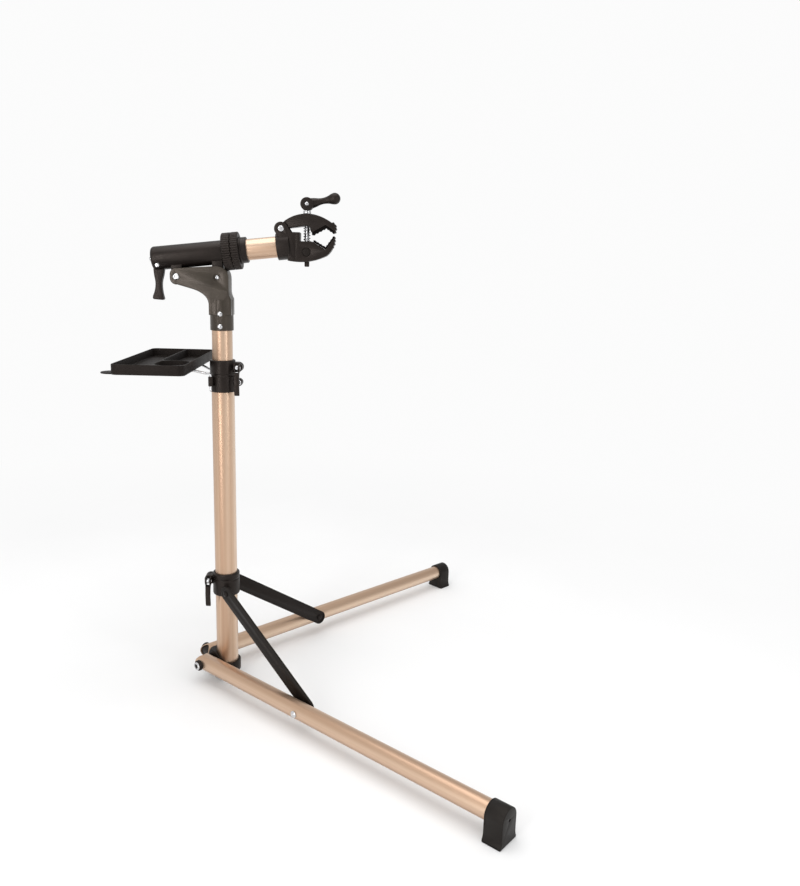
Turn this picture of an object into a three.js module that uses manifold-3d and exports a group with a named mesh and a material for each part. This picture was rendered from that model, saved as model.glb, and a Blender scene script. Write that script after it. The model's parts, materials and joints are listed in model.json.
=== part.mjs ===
// A folding bicycle repair stand, in millimetres: Z up, the floor at z = 0, the clamp arm along +X.
import * as THREE from "three";
import { mergeVertices } from "three/addons/utils/BufferGeometryUtils.js";
import Module from "manifold-3d";

const wasm = await Module();
wasm.setup();

// ---- Driving dimensions ----

const GAP = 0.3; // clearance between neighbouring pieces
const mast = { radius: 22.5, wall: 1.5, bottom: 12, top: 651 };
const upper = { radius: 20, wall: 1.6, bottom: 41, top: 795 };
const leg = {
  radius: 17,
  wall: 1.6,
  length: 746,
  angle: THREE.MathUtils.degToRad(42), // each leg's turn away from the arm's direction
  back: 40, // pivot's distance behind the mast's axis
  side: 26, // and to its side
  height: 42,
  boltRadius: 5,
};
const strut = { width: 31, thickness: 5, web: 2.4, along: 285, pinRadius: 4 };
const foldCollar = { bottom: 190, top: 237, earHeight: 203, radius: 27.5 };
const mastCollar = { bottom: 618, step: 651, top: 681, lowerRadius: 26, upperRadius: 25 };
const clampBolt = { radius: 3, lug: 11, slit: 3 };
const tray = { near: -43, far: -175, halfLength: 153, floor: 666, rim: 685, wall: 2.6, corner: 12 };
const hook = { x: -19, y: 28, wire: 2.5, bottom: 622 };
const arm = {
  tilt: THREE.MathUtils.degToRad(7), // upward slope of the head's axis
  height: 888, // height of that axis above the mast's centre
  barrelRadius: 22.5,
  barrelStart: -131,
  barrelEnd: 6,
  ringRadius: 35.5,
  ringEnd: 38,
  collarEnd: 52,
  radius: 20,
  wall: 1.8,
  end: 118,
  rodRadius: 5,
};
const teeth = { count: 24, height: 2, face: 22 };
const camLever = { x: -117.5, z: 860.5, length: 66, thickness: 14 };
const hinge = { x: 117.2, z: 935, radius: 11, lug: 13, halfWidth: 20, cheek: 5 };
const screw = { x: 165.5, radius: 5, bottom: 865.5, nut: 893, shoulder: 968.5, eye: 982.6 };
const handle = { tilt: THREE.MathUtils.degToRad(12.8), hub: 12.5, ball: 10.8, span: 54 };

// Where the mast's axis lies in a leg's own frame.
const mastAlong = leg.back * Math.cos(leg.angle) - leg.side * Math.sin(leg.angle);
const mastAcross = leg.back * Math.sin(leg.angle) + leg.side * Math.cos(leg.angle);
const strutTop = { x: mastAlong + 32, z: foldCollar.earHeight - leg.height };
const strutFace = leg.radius + 0.8; // the strut's outer face, measured from the leg's centre line
const strutBack = strutFace + strut.thickness;

// ---- Geometry helpers ----

function toSolid(geometry) {
  const bare = geometry.clone();
  bare.deleteAttribute("normal");
  bare.deleteAttribute("uv");
  const merged = mergeVertices(bare, 1e-4);
  const mesh = new wasm.Mesh({
    numProp: 3,
    vertProperties: merged.getAttribute("position").array,
    triVerts: new Uint32Array(merged.index.array),
  });
  return new wasm.Manifold(mesh);
}

function toGeometry(manifold) {
  const { vertProperties, triVerts } = manifold.getMesh();
  const geometry = new THREE.BufferGeometry();
  geometry.setAttribute("position", new THREE.BufferAttribute(vertProperties, 3));
  geometry.setIndex(new THREE.BufferAttribute(triVerts, 1));
  return geometry;
}

function join(first, ...others) {
  return toGeometry(others.reduce((sum, other) => sum.add(toSolid(other)), toSolid(first)));
}

function cut(first, ...tools) {
  return toGeometry(tools.reduce((rest, tool) => rest.subtract(toSolid(tool)), toSolid(first)));
}

function common(first, second) {
  return toGeometry(toSolid(first).intersect(toSolid(second)));
}

// The same piece on the other side of the stand's middle plane.
function mirrored(geometry) {
  const copy = toGeometry(toSolid(geometry)).scale(1, -1, 1);
  copy.index.array.reverse();
  return copy;
}

// A solid of revolution about Z through [radius, height] corners.
function turned(corners, segments = 24) {
  const points = corners.map(([radius, height]) => new THREE.Vector2(radius, height));
  if (THREE.ShapeUtils.area(points) < 0) points.reverse();
  const onAxis = points[0].x === 0 && points.at(-1).x === 0;
  if (!onAxis) points.push(points[0].clone());
  return new THREE.LatheGeometry(points, segments).rotateX(Math.PI / 2);
}

function rod(radius, start, end, segments = 16) {
  return turned([[0, start], [radius, start], [radius, end], [0, end]], segments);
}

function tube(inner, outer, start, end, segments = 24) {
  return turned([[inner, start], [outer, start], [outer, end], [inner, end]], segments);
}

function box(x0, x1, y0, y1, z0, z1) {
  const geometry = new THREE.BoxGeometry(x1 - x0, y1 - y0, z1 - z0);
  return geometry.translate((x0 + x1) / 2, (y0 + y1) / 2, (z0 + z1) / 2);
}

const alongX = (geometry) => geometry.rotateY(Math.PI / 2);
const alongY = (geometry) => geometry.rotateX(-Math.PI / 2);
const alongArm = (geometry) => geometry.rotateY(Math.PI / 2 - arm.tilt).translate(0, 0, arm.height);

function outline(points) {
  return new THREE.Shape(points.map(([a, b]) => new THREE.Vector2(a, b)));
}

function disc(x, y, radius) {
  return new THREE.Shape().absarc(x, y, radius, 0, 2 * Math.PI);
}

// Two half circles joined by straight sides.
function link(ax, ay, bx, by, radius) {
  const angle = Math.atan2(by - ay, bx - ax);
  const shape = new THREE.Shape();
  shape.absarc(bx, by, radius, angle - Math.PI / 2, angle + Math.PI / 2);
  shape.absarc(ax, ay, radius, angle + Math.PI / 2, angle + (3 * Math.PI) / 2);
  return shape;
}

function roundedRect(x0, x1, y0, y1, radius) {
  const shape = new THREE.Shape();
  shape.absarc(x1 - radius, y0 + radius, radius, -Math.PI / 2, 0);
  shape.absarc(x1 - radius, y1 - radius, radius, 0, Math.PI / 2);
  shape.absarc(x0 + radius, y1 - radius, radius, Math.PI / 2, Math.PI);
  shape.absarc(x0 + radius, y0 + radius, radius, Math.PI, (3 * Math.PI) / 2);
  return shape;
}

// Extrusions: drawn in XY and raised along Z, in XZ along Y, or in YZ along X.
function raised(shape, z0, z1, curveSegments = 5) {
  const options = { depth: z1 - z0, bevelEnabled: false, curveSegments };
  return new THREE.ExtrudeGeometry(shape, options).translate(0, 0, z0);
}

function slab(shape, y0, y1, curveSegments = 6) {
  return raised(shape, 0, y1 - y0, curveSegments).rotateX(Math.PI / 2).translate(0, y1, 0);
}

const yzPlane = new THREE.Matrix4().makeBasis(
  new THREE.Vector3(0, 1, 0),
  new THREE.Vector3(0, 0, 1),
  new THREE.Vector3(1, 0, 0),
);

function across(shape, x0, x1, curveSegments = 6) {
  return raised(shape, x0, x1, curveSegments).applyMatrix4(yzPlane);
}

// The front leg's frame: X along the leg from its pivot, Y inwards, Z up.
const legFrame = new THREE.Matrix4()
  .makeBasis(
    new THREE.Vector3(Math.cos(leg.angle), -Math.sin(leg.angle), 0),
    new THREE.Vector3(Math.sin(leg.angle), Math.cos(leg.angle), 0),
    new THREE.Vector3(0, 0, 1),
  )
  .setPosition(-leg.back, -leg.side, leg.height);

const onLeg = (geometry) => geometry.applyMatrix4(legFrame);

// ---- Materials and nodes ----

const finishes = {
  champagne: { color: 0xd9b795, metalness: 0.8, roughness: 0.35 },
  blackSteel: { color: 0x1d1b1a, metalness: 0.5, roughness: 0.5 },
  blackPlastic: { color: 0x211e1e, metalness: 0, roughness: 0.55 },
  rubber: { color: 0x151414, metalness: 0, roughness: 0.85 },
  chrome: { color: 0xdfe1e4, metalness: 1, roughness: 0.15 },
};

const stand = new THREE.Group();
stand.name = "bike_repair_stand";

function add(name, geometry, finish) {
  const mesh = new THREE.Mesh(geometry, new THREE.MeshStandardMaterial(finishes[finish]));
  mesh.name = name;
  stand.add(mesh);
}

// Adds a piece built in the front leg's frame, and its mirror image for the rear leg.
function addPair(name, geometry, finish) {
  const front = onLeg(geometry);
  add(`${name}_front`, front, finish);
  add(`${name}_rear`, mirrored(front), finish);
}

// ---- Mast foot ----

const mastBore = mast.radius - mast.wall;
add("lower_mast_tube", tube(mastBore, mast.radius, mast.bottom, mast.top, 28), "champagne");

const plugRadius = mastBore - GAP;
const baseCap = turned([
  [0, 0],
  [mast.radius - 2, 0],
  [mast.radius + 1, 3],
  [mast.radius + 1, mast.bottom - GAP],
  [plugRadius, mast.bottom - GAP],
  [plugRadius, mast.bottom + 24],
  [plugRadius - 3, mast.bottom + 24],
  [plugRadius - 3, mast.bottom + 2],
  [0, mast.bottom + 2],
]);
add("base_cap", baseCap, "rubber");

// The bracket: a band round the mast's foot, and a plate inside each leg with a web between them.
const bracket = { face: leg.radius + 0.6, thickness: 4.4, bandBottom: 16, bandTop: 38 };
const bracketBack = bracket.face + bracket.thickness;

function buildBracket() {
  const band = tube(mast.radius + GAP, mast.radius + 5.2, bracket.bandBottom, bracket.bandTop);
  const low = bracket.bandBottom - leg.height;
  const high = bracket.bandTop - leg.height;
  const side = outline([[-15, -16], [2, low], [32, low], [32, high], [9, 19], [-9, 19], [-15, 12]]);
  const plate = onLeg(slab(side, bracket.face, bracketBack));
  const web = outline([[-36, -3.2], [-21, -16.5], [-21, 16.5], [-36, 3.2]]);
  const mastRoom = rod(mast.radius + GAP, 0, 90, 28);
  const boltHole = onLeg(alongY(rod(leg.boltRadius + GAP, 0, 40)));
  return cut(
    join(band, plate, mirrored(plate), raised(web, leg.height - 16, leg.height + 19)),
    mastRoom,
    boltHole,
    mirrored(boltHole),
  );
}
add("base_bracket", buildBracket(), "blackSteel");

// ---- Legs ----

function buildLegTube() {
  const barrel = alongX(tube(leg.radius - leg.wall, leg.radius, -leg.radius, leg.length));
  const rounded = slab(link(0, 0, leg.length + leg.radius, 0, leg.radius + 0.01), -20, 20);
  const pivotBore = alongY(rod(leg.boltRadius + GAP, -20, 20));
  const strutBore = alongY(rod(strut.pinRadius + GAP, -20, 20)).translate(strut.along, 0, 0);
  return cut(common(barrel, rounded), pivotBore, strutBore);
}
addPair("leg_tube", buildLegTube(), "champagne");

function buildLegPlug() {
  const radius = leg.radius - leg.wall - GAP;
  const core = alongX(rod(radius, -radius, 22));
  const rounded = slab(link(0, 0, 40, 0, radius - 0.5), -20, 20);
  return cut(common(core, rounded), alongY(rod(leg.boltRadius + GAP, -20, 20)));
}
addPair("leg_plug", buildLegPlug(), "blackPlastic");

const spacerFace = -leg.radius - 6.5;
const spacer = alongY(tube(leg.boltRadius + GAP, 11, spacerFace, -leg.radius - GAP, 16));
addPair("leg_spacer", spacer, "blackPlastic");

// The pivot bolt runs from its socket head through the spacer and the leg into the bracket's plate.
function buildLegBolt() {
  const head = spacerFace - GAP;
  const body = turned([
    [0, head - 3],
    [7.6, head - 3],
    [8.6, head - 2],
    [8.6, head],
    [leg.boltRadius, head],
    [leg.boltRadius, bracketBack - 0.4],
    [0, bracketBack - 0.4],
  ], 16);
  return alongY(cut(body, rod(5.2, head - 4, head - 0.8, 6)));
}
addPair("leg_bolt", buildLegBolt(), "chrome");

// The boot: an arch round the tube that spreads into a flat foot on the floor.
function buildFoot() {
  const half = leg.radius + 3.4;
  const flare = half + 3;
  const shape = new THREE.Shape();
  shape.moveTo(flare, -leg.height);
  shape.lineTo(flare, -leg.height + 4);
  shape.lineTo(half, -leg.height + 14);
  shape.absarc(0, 0, half, 0, Math.PI);
  shape.lineTo(-half, -leg.height + 14);
  shape.lineTo(-flare, -leg.height + 4);
  shape.lineTo(-flare, -leg.height);
  const boot = across(shape, leg.length - 31, leg.length + 4);
  const bore = alongX(rod(leg.radius + GAP, leg.length - 40, leg.length + GAP, 24));
  const recess = across(link(-5, 0, 5, 0, 9), leg.length + 2.6, leg.length + 6);
  return cut(boot, bore, recess);
}
addPair("foot", buildFoot(), "rubber");

// The leg's half of the strut joint ends inside the leg's inner wall.
const strutBolt = turned([
  [0, -leg.radius - 3.6],
  [4, -leg.radius - 3.2],
  [7, -leg.radius - GAP],
  [strut.pinRadius, -leg.radius - GAP],
  [strut.pinRadius, leg.radius - 0.2],
  [0, leg.radius - 0.2],
], 16);
addPair("strut_bolt", alongY(strutBolt).translate(strut.along, 0, 0), "chrome");

// ---- Struts ----

// A shallow channel with round ends, its flat web towards the leg.
function buildStrut() {
  const ends = [strutTop.x, strutTop.z, strut.along, 0];
  const bar = slab(link(...ends, strut.width / 2), strutFace, strutBack);
  const channel = slab(link(...ends, strut.width / 2 - 2.2), strutFace + strut.web, strutBack + 1);
  const bore = alongY(rod(strut.pinRadius + GAP, 0, 40));
  const topBore = bore.clone().translate(strutTop.x, 0, strutTop.z);
  const legBore = bore.clone().translate(strut.along, 0, 0);
  return cut(bar, channel, topBore, legBore);
}
addPair("strut", buildStrut(), "blackSteel");

const strutRivet = turned([
  [0, strutFace],
  [strut.pinRadius, strutFace],
  [strut.pinRadius, strutFace + strut.web + GAP],
  [6.5, strutFace + strut.web + GAP],
  [5, strutBack],
  [0, strutBack],
], 16);
addPair("strut_rivet", alongY(strutRivet).translate(strut.along, 0, 0), "chrome");

const earFace = strutBack + 0.5;
const earBack = earFace + 6.7;
const strutPin = turned([
  [0, strutFace - 2.3],
  [5, strutFace - 2.3],
  [6.5, strutFace - GAP],
  [strut.pinRadius, strutFace - GAP],
  [strut.pinRadius, earBack],
  [0, earBack],
], 16);
addPair("strut_pin", alongY(strutPin).translate(strutTop.x, 0, strutTop.z), "chrome");

// ---- Quick-release clamps ----

// A cam lever that hangs from a pin along X; the clamp bolt's eye sits in its fork.
function buildClampLever(length) {
  const head = alongX(rod(8, -6, 6));
  const blade = outline([
    [-8, 0],
    [-10, -0.55 * length],
    [-8, -length + 3],
    [-5, -length],
    [-2.5, -length + 2],
    [-4.5, -0.55 * length],
    [-1, -13],
    [5, -6],
  ]);
  const fork = box(-3.4, 3.4, -12, 12, -9.5, 12);
  const bore = alongX(rod(2.8, -10, 10));
  return cut(join(head, across(blade, -5, 5)), fork, bore);
}

function buildClampBolt() {
  const eye = alongX(rod(5.2, -2.4, 2.4));
  const shank = alongY(rod(clampBolt.radius, 2, 2 * clampBolt.lug + 2 * 8.6 - 1));
  return cut(join(eye, shank), alongX(rod(2.8, -10, 10)));
}

const clampPivot = -clampBolt.lug - 8.6; // the lever pin's place across the collar's lugs

// Adds the four moving pieces of a clamp whose bolt crosses the slit at (x, z).
function addClamp(name, x, z, length) {
  const place = (geometry) => geometry.translate(x, clampPivot, z);
  add(`${name}_lever`, place(buildClampLever(length)), "blackPlastic");
  add(`${name}_lever_pin`, place(alongX(rod(2.5, -7, 7))), "chrome");
  add(`${name}_clamp_bolt`, place(buildClampBolt()), "chrome");
  const nut = alongY(tube(clampBolt.radius + GAP, 7.5, clampBolt.lug + GAP, clampBolt.lug + 6, 16));
  add(`${name}_clamp_nut`, nut.translate(x, 0, z), "blackPlastic");
}

// The pair of lugs beside a collar's slit, round about the bolt at x.
function clampLugs(root, x, z, radius) {
  return slab(link(root, z, x, z, radius), -clampBolt.lug, clampBolt.lug, 8);
}

function clampCuts(root, reach, x, z, z0, z1) {
  const x0 = Math.min(root, reach);
  const x1 = Math.max(root, reach);
  const slit = box(x0, x1, -clampBolt.slit / 2, clampBolt.slit / 2, z0, z1);
  const bore = alongY(rod(clampBolt.radius + GAP, -30, 30)).translate(x, 0, z);
  return [slit, bore];
}

// ---- Fold collar ----

const foldClamp = { x: -34, z: 222, lever: 54 };

function buildFoldCollar() {
  const band = turned([
    [mast.radius + GAP, foldCollar.bottom],
    [foldCollar.radius - 1, foldCollar.bottom],
    [foldCollar.radius, foldCollar.bottom + 2],
    [foldCollar.radius, foldCollar.top - 2],
    [foldCollar.radius - 1, foldCollar.top],
    [mast.radius + GAP, foldCollar.top],
  ], 28);
  const earLink = link(mastAlong + 8, strutTop.z, strutTop.x, strutTop.z, 10.5);
  const ear = onLeg(slab(earLink, earFace, earBack - 1));
  const lugs = clampLugs(-20, foldClamp.x, foldClamp.z, 9.5);
  const mastRoom = rod(mast.radius + GAP, foldCollar.bottom - 5, foldCollar.top + 5, 28);
  const pinBore = onLeg(
    alongY(rod(strut.pinRadius + GAP, 0, 40)).translate(strutTop.x, 0, strutTop.z),
  );
  const bottom = foldCollar.bottom - 1;
  const top = foldCollar.top + 1;
  return cut(
    join(band, ear, mirrored(ear), lugs),
    mastRoom,
    pinBore,
    mirrored(pinBore),
    ...clampCuts(-18, -45, foldClamp.x, foldClamp.z, bottom, top),
  );
}
add("fold_collar", buildFoldCollar(), "blackPlastic");
addClamp("fold", foldClamp.x, foldClamp.z, foldClamp.lever);

// ---- Mast collar ----

const mastClamp = { x: 31, z: 667, lever: 55 };
const collarScrew = { x: 32, z: 637, radius: 3, head: 5.5, lug: 8 };

// A lower band on the lower tube, and a split upper band that grips the sliding tube.
function buildMastCollar() {
  const { bottom, step, top, lowerRadius, upperRadius } = mastCollar;
  const bands = turned([
    [mast.radius + GAP, bottom],
    [lowerRadius, bottom],
    [lowerRadius, step - 2],
    [upperRadius - 0.8, step - 0.5],
    [upperRadius - 0.8, step + 2.5],
    [upperRadius, step + 4],
    [upperRadius, top - 1],
    [upperRadius - 1, top],
    [upper.radius + 0.5, top],
    [upper.radius + 0.5, step + 3.5],
    [mast.radius + GAP, step + 3.5],
  ], 28);
  const lugs = clampLugs(18, mastClamp.x, mastClamp.z, 9.5);
  const ear = link(18, collarScrew.z, collarScrew.x, collarScrew.z, 7.5);
  const lowerLugs = slab(ear, -collarScrew.lug, collarScrew.lug, 8);
  const block = box(hook.x - 6, hook.x + 6, -hook.y - 6, -20, 631, step - 1);
  const hookBore = rod(hook.wire + 0.4, 600, 700).translate(hook.x, -hook.y, 0);
  const bore = rod(mast.radius + GAP, bottom - 5, step + 3.5, 28);
  const slideBore = rod(upper.radius + 0.5, step, top + 5, 28);
  const screwBore = alongY(rod(collarScrew.radius + GAP, -20, 20));
  return cut(
    join(bands, lugs, lowerLugs, block, mirrored(block)),
    bore,
    slideBore,
    hookBore,
    mirrored(hookBore),
    screwBore.translate(collarScrew.x, 0, collarScrew.z),
    ...clampCuts(18, 45, mastClamp.x, mastClamp.z, step + 5, top + 1),
  );
}
add("mast_collar", buildMastCollar(), "blackPlastic");
addClamp("mast", mastClamp.x, mastClamp.z, mastClamp.lever);

// The screw that fixes the lower band to the lower tube.
function buildCollarScrew() {
  const { radius, head, lug } = collarScrew;
  const under = -lug - GAP;
  return alongY(turned([
    [0, under - 2.4],
    [head - 1, under - 2.4],
    [head, under - 1.4],
    [head, under],
    [radius, under],
    [radius, lug + 2],
    [0, lug + 2],
  ], 16));
}
add("collar_screw", buildCollarScrew().translate(collarScrew.x, 0, collarScrew.z), "chrome");

// The bush lines the lower tube's mouth, with its flange on the tube's end.
const bushBore = upper.radius + 0.25;
const mastBush = turned([
  [bushBore, mast.top - 30],
  [mastBore - 0.2, mast.top - 30],
  [mastBore - 0.2, mast.top + GAP],
  [mast.radius, mast.top + GAP],
  [mast.radius, mast.top + 2.6],
  [bushBore, mast.top + 2.6],
]);
add("mast_bush", mastBush, "blackPlastic");

// ---- Tool tray ----

function buildTray() {
  const { near, far, halfLength, floor, rim, wall, corner } = tray;
  const tub = raised(roundedRect(far, near, -halfLength, halfLength, corner), floor, rim);
  const divider = near + 0.45 * (far - near);
  const cross = -halfLength + 83;
  const inner = floor + wall;
  const top = rim + 1;
  const [yFront, yRear] = [-halfLength + wall, halfLength - wall];
  const wells = [
    raised(roundedRect(far + wall, divider - wall / 2, yFront, yRear, corner - 3), inner, top),
    raised(roundedRect(divider + wall / 2, near - wall, cross + wall, yRear, corner - 3), inner, top),
    raised(roundedRect(divider + wall / 2, near - wall, yFront, cross, 24), inner, top),
  ];
  const tab = raised(link(far - 5, 26 - halfLength, far + 12, 26 - halfLength, 18), floor, inner);
  return join(cut(tub, ...wells), tab);
}
add("tray_tub", buildTray(), "blackPlastic");

// One bent wire: hooked into both sides of the mast collar, it runs out and round below the tub.
function buildTrayWire() {
  const under = tray.floor - GAP - hook.wire;
  const run = mastCollar.step + 6;
  const reach = 95;
  const half = [
    [hook.x, -hook.y, hook.bottom],
    [hook.x, -hook.y, run - 12],
    [hook.x, -hook.y, run - 5],
    [hook.x - 3, -hook.y, run - 1],
    [hook.x - 10, -hook.y - 2, run],
    [-50, -45, under],
    [-62, -60, under],
    [-80, -reach + 6, under],
    [-100, -reach, under],
    [tray.far + 30, -reach, under],
    [tray.far + 20, -reach + 3, under],
    [tray.far + 15, -reach + 14, under],
    [tray.far + 14, -reach + 40, under],
  ];
  const points = [...half, ...half.toReversed().map(([x, y, z]) => [x, -y, z])];
  const path = new THREE.CatmullRomCurve3(
    points.map((point) => new THREE.Vector3(...point)),
    false,
    "centripetal",
  );
  const options = { steps: 64, extrudePath: path, curveSegments: 3 };
  return new THREE.ExtrudeGeometry(disc(0, 0, hook.wire), options);
}
add("tray_wire", buildTrayWire(), "chrome");

// ---- Sliding mast ----

const rivetHeights = { upper: 771, lower: 747 };
const sleeve = { radius: 22.6, bottom: 739, top: 798 };

function buildUpperTube() {
  const bores = Object.values(rivetHeights).map((z) => alongY(rod(3.3, -30, 30)).translate(0, 0, z));
  const bore = upper.radius - upper.wall;
  return cut(tube(bore, upper.radius, upper.bottom, upper.top, 28), ...bores);
}
add("upper_mast_tube", buildUpperTube(), "champagne");

const slidePlug = turned([
  [0, upper.bottom - 3],
  [mastBore - 0.5, upper.bottom - 3],
  [mastBore - 0.5, upper.bottom - GAP],
  [upper.radius - upper.wall - GAP, upper.bottom - GAP],
  [upper.radius - upper.wall - GAP, upper.bottom + 18],
  [0, upper.bottom + 18],
]);
add("upper_tube_plug", slidePlug, "blackPlastic");

for (const [name, z] of Object.entries(rivetHeights)) {
  const face = sleeve.radius + GAP;
  const rivet = turned([
    [0, -face - 1.8],
    [3, -face - 1.6],
    [5, -face],
    [3, -face],
    [3, face],
    [5, face],
    [3, face + 1.6],
    [0, face + 1.8],
  ], 16);
  add(`sleeve_rivet_${name}`, alongY(rivet).translate(0, 0, z), "chrome");
}

// ---- Head bracket ----

const headBolts = {
  left: { x: -82, z: 840, head: 6.2, shank: 4, boss: 12 },
  right: { x: -4.5, z: 840.5, head: 4.2, shank: 3, boss: 12 },
};
const fork = { half: 21, plate: 4 };

// The fork's side view: a lobe at each bolt, a curved belly, and a neck down into the sleeve.
function forkOutline(inset) {
  const { left } = headBolts;
  const shape = new THREE.Shape();
  shape.moveTo(21.5 - inset, sleeve.bottom + 30);
  shape.lineTo(21.5 - inset, 800);
  shape.quadraticCurveTo(17 - inset, 808, 17 - inset, 816);
  shape.lineTo(17 - inset, 838);
  shape.quadraticCurveTo(17 - inset, 856, 4 - inset, 860);
  shape.lineTo(-4.5, 862);
  shape.lineTo(left.x, left.z + left.boss + 4);
  shape.absarc(left.x, left.z + 4, left.boss - inset, Math.PI / 2, Math.PI);
  shape.absarc(left.x, left.z - 3, left.boss - inset, Math.PI, 1.55 * Math.PI);
  shape.lineTo(-50, 817 + inset);
  shape.quadraticCurveTo(-21.5 + inset, 808 + inset, -21.5 + inset, 788);
  shape.lineTo(-21.5 + inset, sleeve.bottom + 30);
  return shape;
}

function buildHeadBracket() {
  const { radius, bottom, top } = sleeve;
  const cheeks = slab(forkOutline(0), -fork.half, fork.half);
  const neck = common(cheeks, rod(radius + 4, bottom, 815, 28));
  const web = fork.half - fork.plate;
  const hollow = slab(forkOutline(fork.plate), -web, web);
  const openTop = join(box(-100, 13, -web, web, 850, 880), box(-100, -60, -web, web, 829.6, 880));
  const above = box(-120, 40, -40, 40, top + 3, 900);
  const side = join(cut(cheeks, common(join(hollow, openTop), above)), neck);
  const bores = Object.values(headBolts).map(({ x, z, shank }) =>
    alongY(rod(shank + GAP, -40, 40)).translate(x, 0, z),
  );
  const { right } = headBolts;
  const sink = alongY(rod(7, -40, -fork.half + 2)).translate(right.x, 0, right.z);
  const bore = rod(upper.radius + GAP, bottom - 1, upper.top + GAP, 28);
  const rivets = Object.values(rivetHeights).map((z) => alongY(rod(3.3, -30, 30)).translate(0, 0, z));
  return cut(join(side, rod(radius, bottom, top, 28)), bore, sink, ...bores, ...rivets);
}
add("head_bracket", buildHeadBracket(), "blackSteel");

for (const [name, { x, z, head, shank }] of Object.entries(headBolts)) {
  const front = name === "right" ? -fork.half + 2 : -fork.half;
  const bolt = turned([
    [0, front - 3.2],
    [head - 1.4, front - 3],
    [head, front - GAP],
    [shank, front - GAP],
    [shank, fork.half + GAP],
    [head, fork.half + GAP],
    [head, fork.half + 4],
    [0, fork.half + 4],
  ], 16);
  add(`head_bolt_${name}`, alongY(bolt).translate(x, 0, z), "chrome");
}

// ---- Head barrel and index rings ----

const axisHeight = (x) => arm.height + x * Math.tan(arm.tilt);
const barrelBore = 17.5;

function buildBarrel() {
  const { barrelRadius, barrelStart, barrelEnd, rodRadius } = arm;
  const shell = alongArm(rod(barrelRadius, barrelStart, barrelEnd, 28));
  const lugs = Object.values(headBolts).map(({ x, z }) =>
    slab(link(x, z, x, axisHeight(x) - 12, 10), -fork.half + fork.plate + 1, fork.half - fork.plate - 1),
  );
  const heel = box(camLever.x - 9, camLever.x + 23, -12, 12, 855, 866);
  const bore = alongArm(rod(barrelBore, barrelStart + 2, barrelEnd + 1, 32));
  const rodHole = alongArm(rod(rodRadius + 0.6, barrelStart - 5, barrelStart + 5));
  const slot = camLever.thickness / 2 + 0.4;
  const camRoom = box(-150, camLever.x + 11.5, -slot, slot, 840, camLever.z + 6);
  const pinHole = alongY(rod(2.8, -40, 40)).translate(camLever.x, 0, camLever.z);
  const pinSink = alongY(rod(4.7, -40, -18.7)).translate(camLever.x, 0, camLever.z);
  const bolts = Object.values(headBolts).map(({ x, z, shank }) =>
    alongY(rod(shank + GAP, -40, 40)).translate(x, 0, z),
  );
  const body = cut(join(shell, ...lugs, heel), bore);
  return cut(body, rodHole, camRoom, pinHole, pinSink, ...bolts);
}
add("head_barrel", buildBarrel(), "blackPlastic");

// One dog tooth, a tapered block lying along the radius; `rise` is +1 or -1 along the axis.
function tooth(rise) {
  const base = teeth.face + (rise > 0 ? -1 : teeth.height + GAP + 1);
  const tip = teeth.face + (rise > 0 ? teeth.height : GAP);
  const shape = outline([[-1.9, base], [1.9, base], [0.8, tip], [-0.8, tip]]);
  return across(shape, 27, arm.ringRadius - 0.4);
}

function withTeeth(ring, rise, phase) {
  const pitch = (2 * Math.PI) / teeth.count;
  const dogs = Array.from({ length: teeth.count }, (_, i) => tooth(rise).rotateZ((i + phase) * pitch));
  return alongArm(join(ring, ...dogs));
}

const fixedRing = tube(arm.rodRadius + 0.6, arm.ringRadius, arm.barrelEnd + GAP, teeth.face, 36);
add("fixed_ring", withTeeth(fixedRing, 1, 0), "blackPlastic");

const turnFace = teeth.face + teeth.height + GAP;
const turningRing = turned([
  [arm.rodRadius + GAP, turnFace],
  [arm.ringRadius, turnFace],
  [arm.ringRadius, arm.ringEnd],
  [24.5, arm.ringEnd],
  [24.5, arm.collarEnd],
  [arm.radius + GAP, arm.collarEnd],
  [arm.radius + GAP, turnFace + 5.5],
  [arm.rodRadius + GAP, turnFace + 5.5],
], 36);
add("turning_ring", withTeeth(turningRing, -1, 0.5), "blackPlastic");

// The draw rod: a collar for the cam at the back, a round head inside the arm at the front.
const rodHead = turnFace + 5.5 + GAP;
const drawRod = turned([
  [0, arm.barrelStart - 6],
  [3, arm.barrelStart - 6],
  [arm.rodRadius, arm.barrelStart - 4],
  [arm.rodRadius, arm.barrelStart + 2.4],
  [9, arm.barrelStart + 2.4],
  [9, arm.barrelStart + 3.9],
  [arm.rodRadius, arm.barrelStart + 3.9],
  [arm.rodRadius, rodHead],
  [11, rodHead],
  [11, rodHead + 6],
  [0, rodHead + 6],
], 16);
add("draw_rod", alongArm(drawRod), "chrome");

// The cam lever: a lobe towards the rod's collar, a narrow waist and a flared end.
function buildCamLever() {
  const { x, z, length, thickness } = camLever;
  const shape = new THREE.Shape();
  shape.moveTo(-4.8, 3);
  shape.absarc(0, 0, 4.8, 0.8 * Math.PI, 0, true);
  shape.lineTo(9.5, -7);
  shape.quadraticCurveTo(9, -16, 5.4, -28);
  shape.quadraticCurveTo(2.4, -42, 7, -length + 6);
  shape.quadraticCurveTo(9, -length, 5, -length);
  shape.lineTo(-11, -length + 1);
  shape.quadraticCurveTo(-15, -length + 2, -12.5, -length + 9);
  shape.quadraticCurveTo(-6, -42, -8, -28);
  shape.quadraticCurveTo(-10.5, -16, -10.5, -6);
  shape.lineTo(-5.6, -3.2);
  shape.lineTo(-5.6, 2.6);
  const bone = slab(shape, -thickness / 2, thickness / 2);
  return cut(bone, alongY(rod(2.8, -20, 20))).translate(x, 0, z);
}
add("cam_lever", buildCamLever(), "blackPlastic");

const camPin = turned([
  [0, -20.6],
  [3, -20.4],
  [4.2, -19],
  [2.5, -19],
  [2.5, 18],
  [0, 18],
], 16);
add("cam_lever_pin", alongY(camPin).translate(camLever.x, 0, camLever.z), "chrome");

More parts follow.
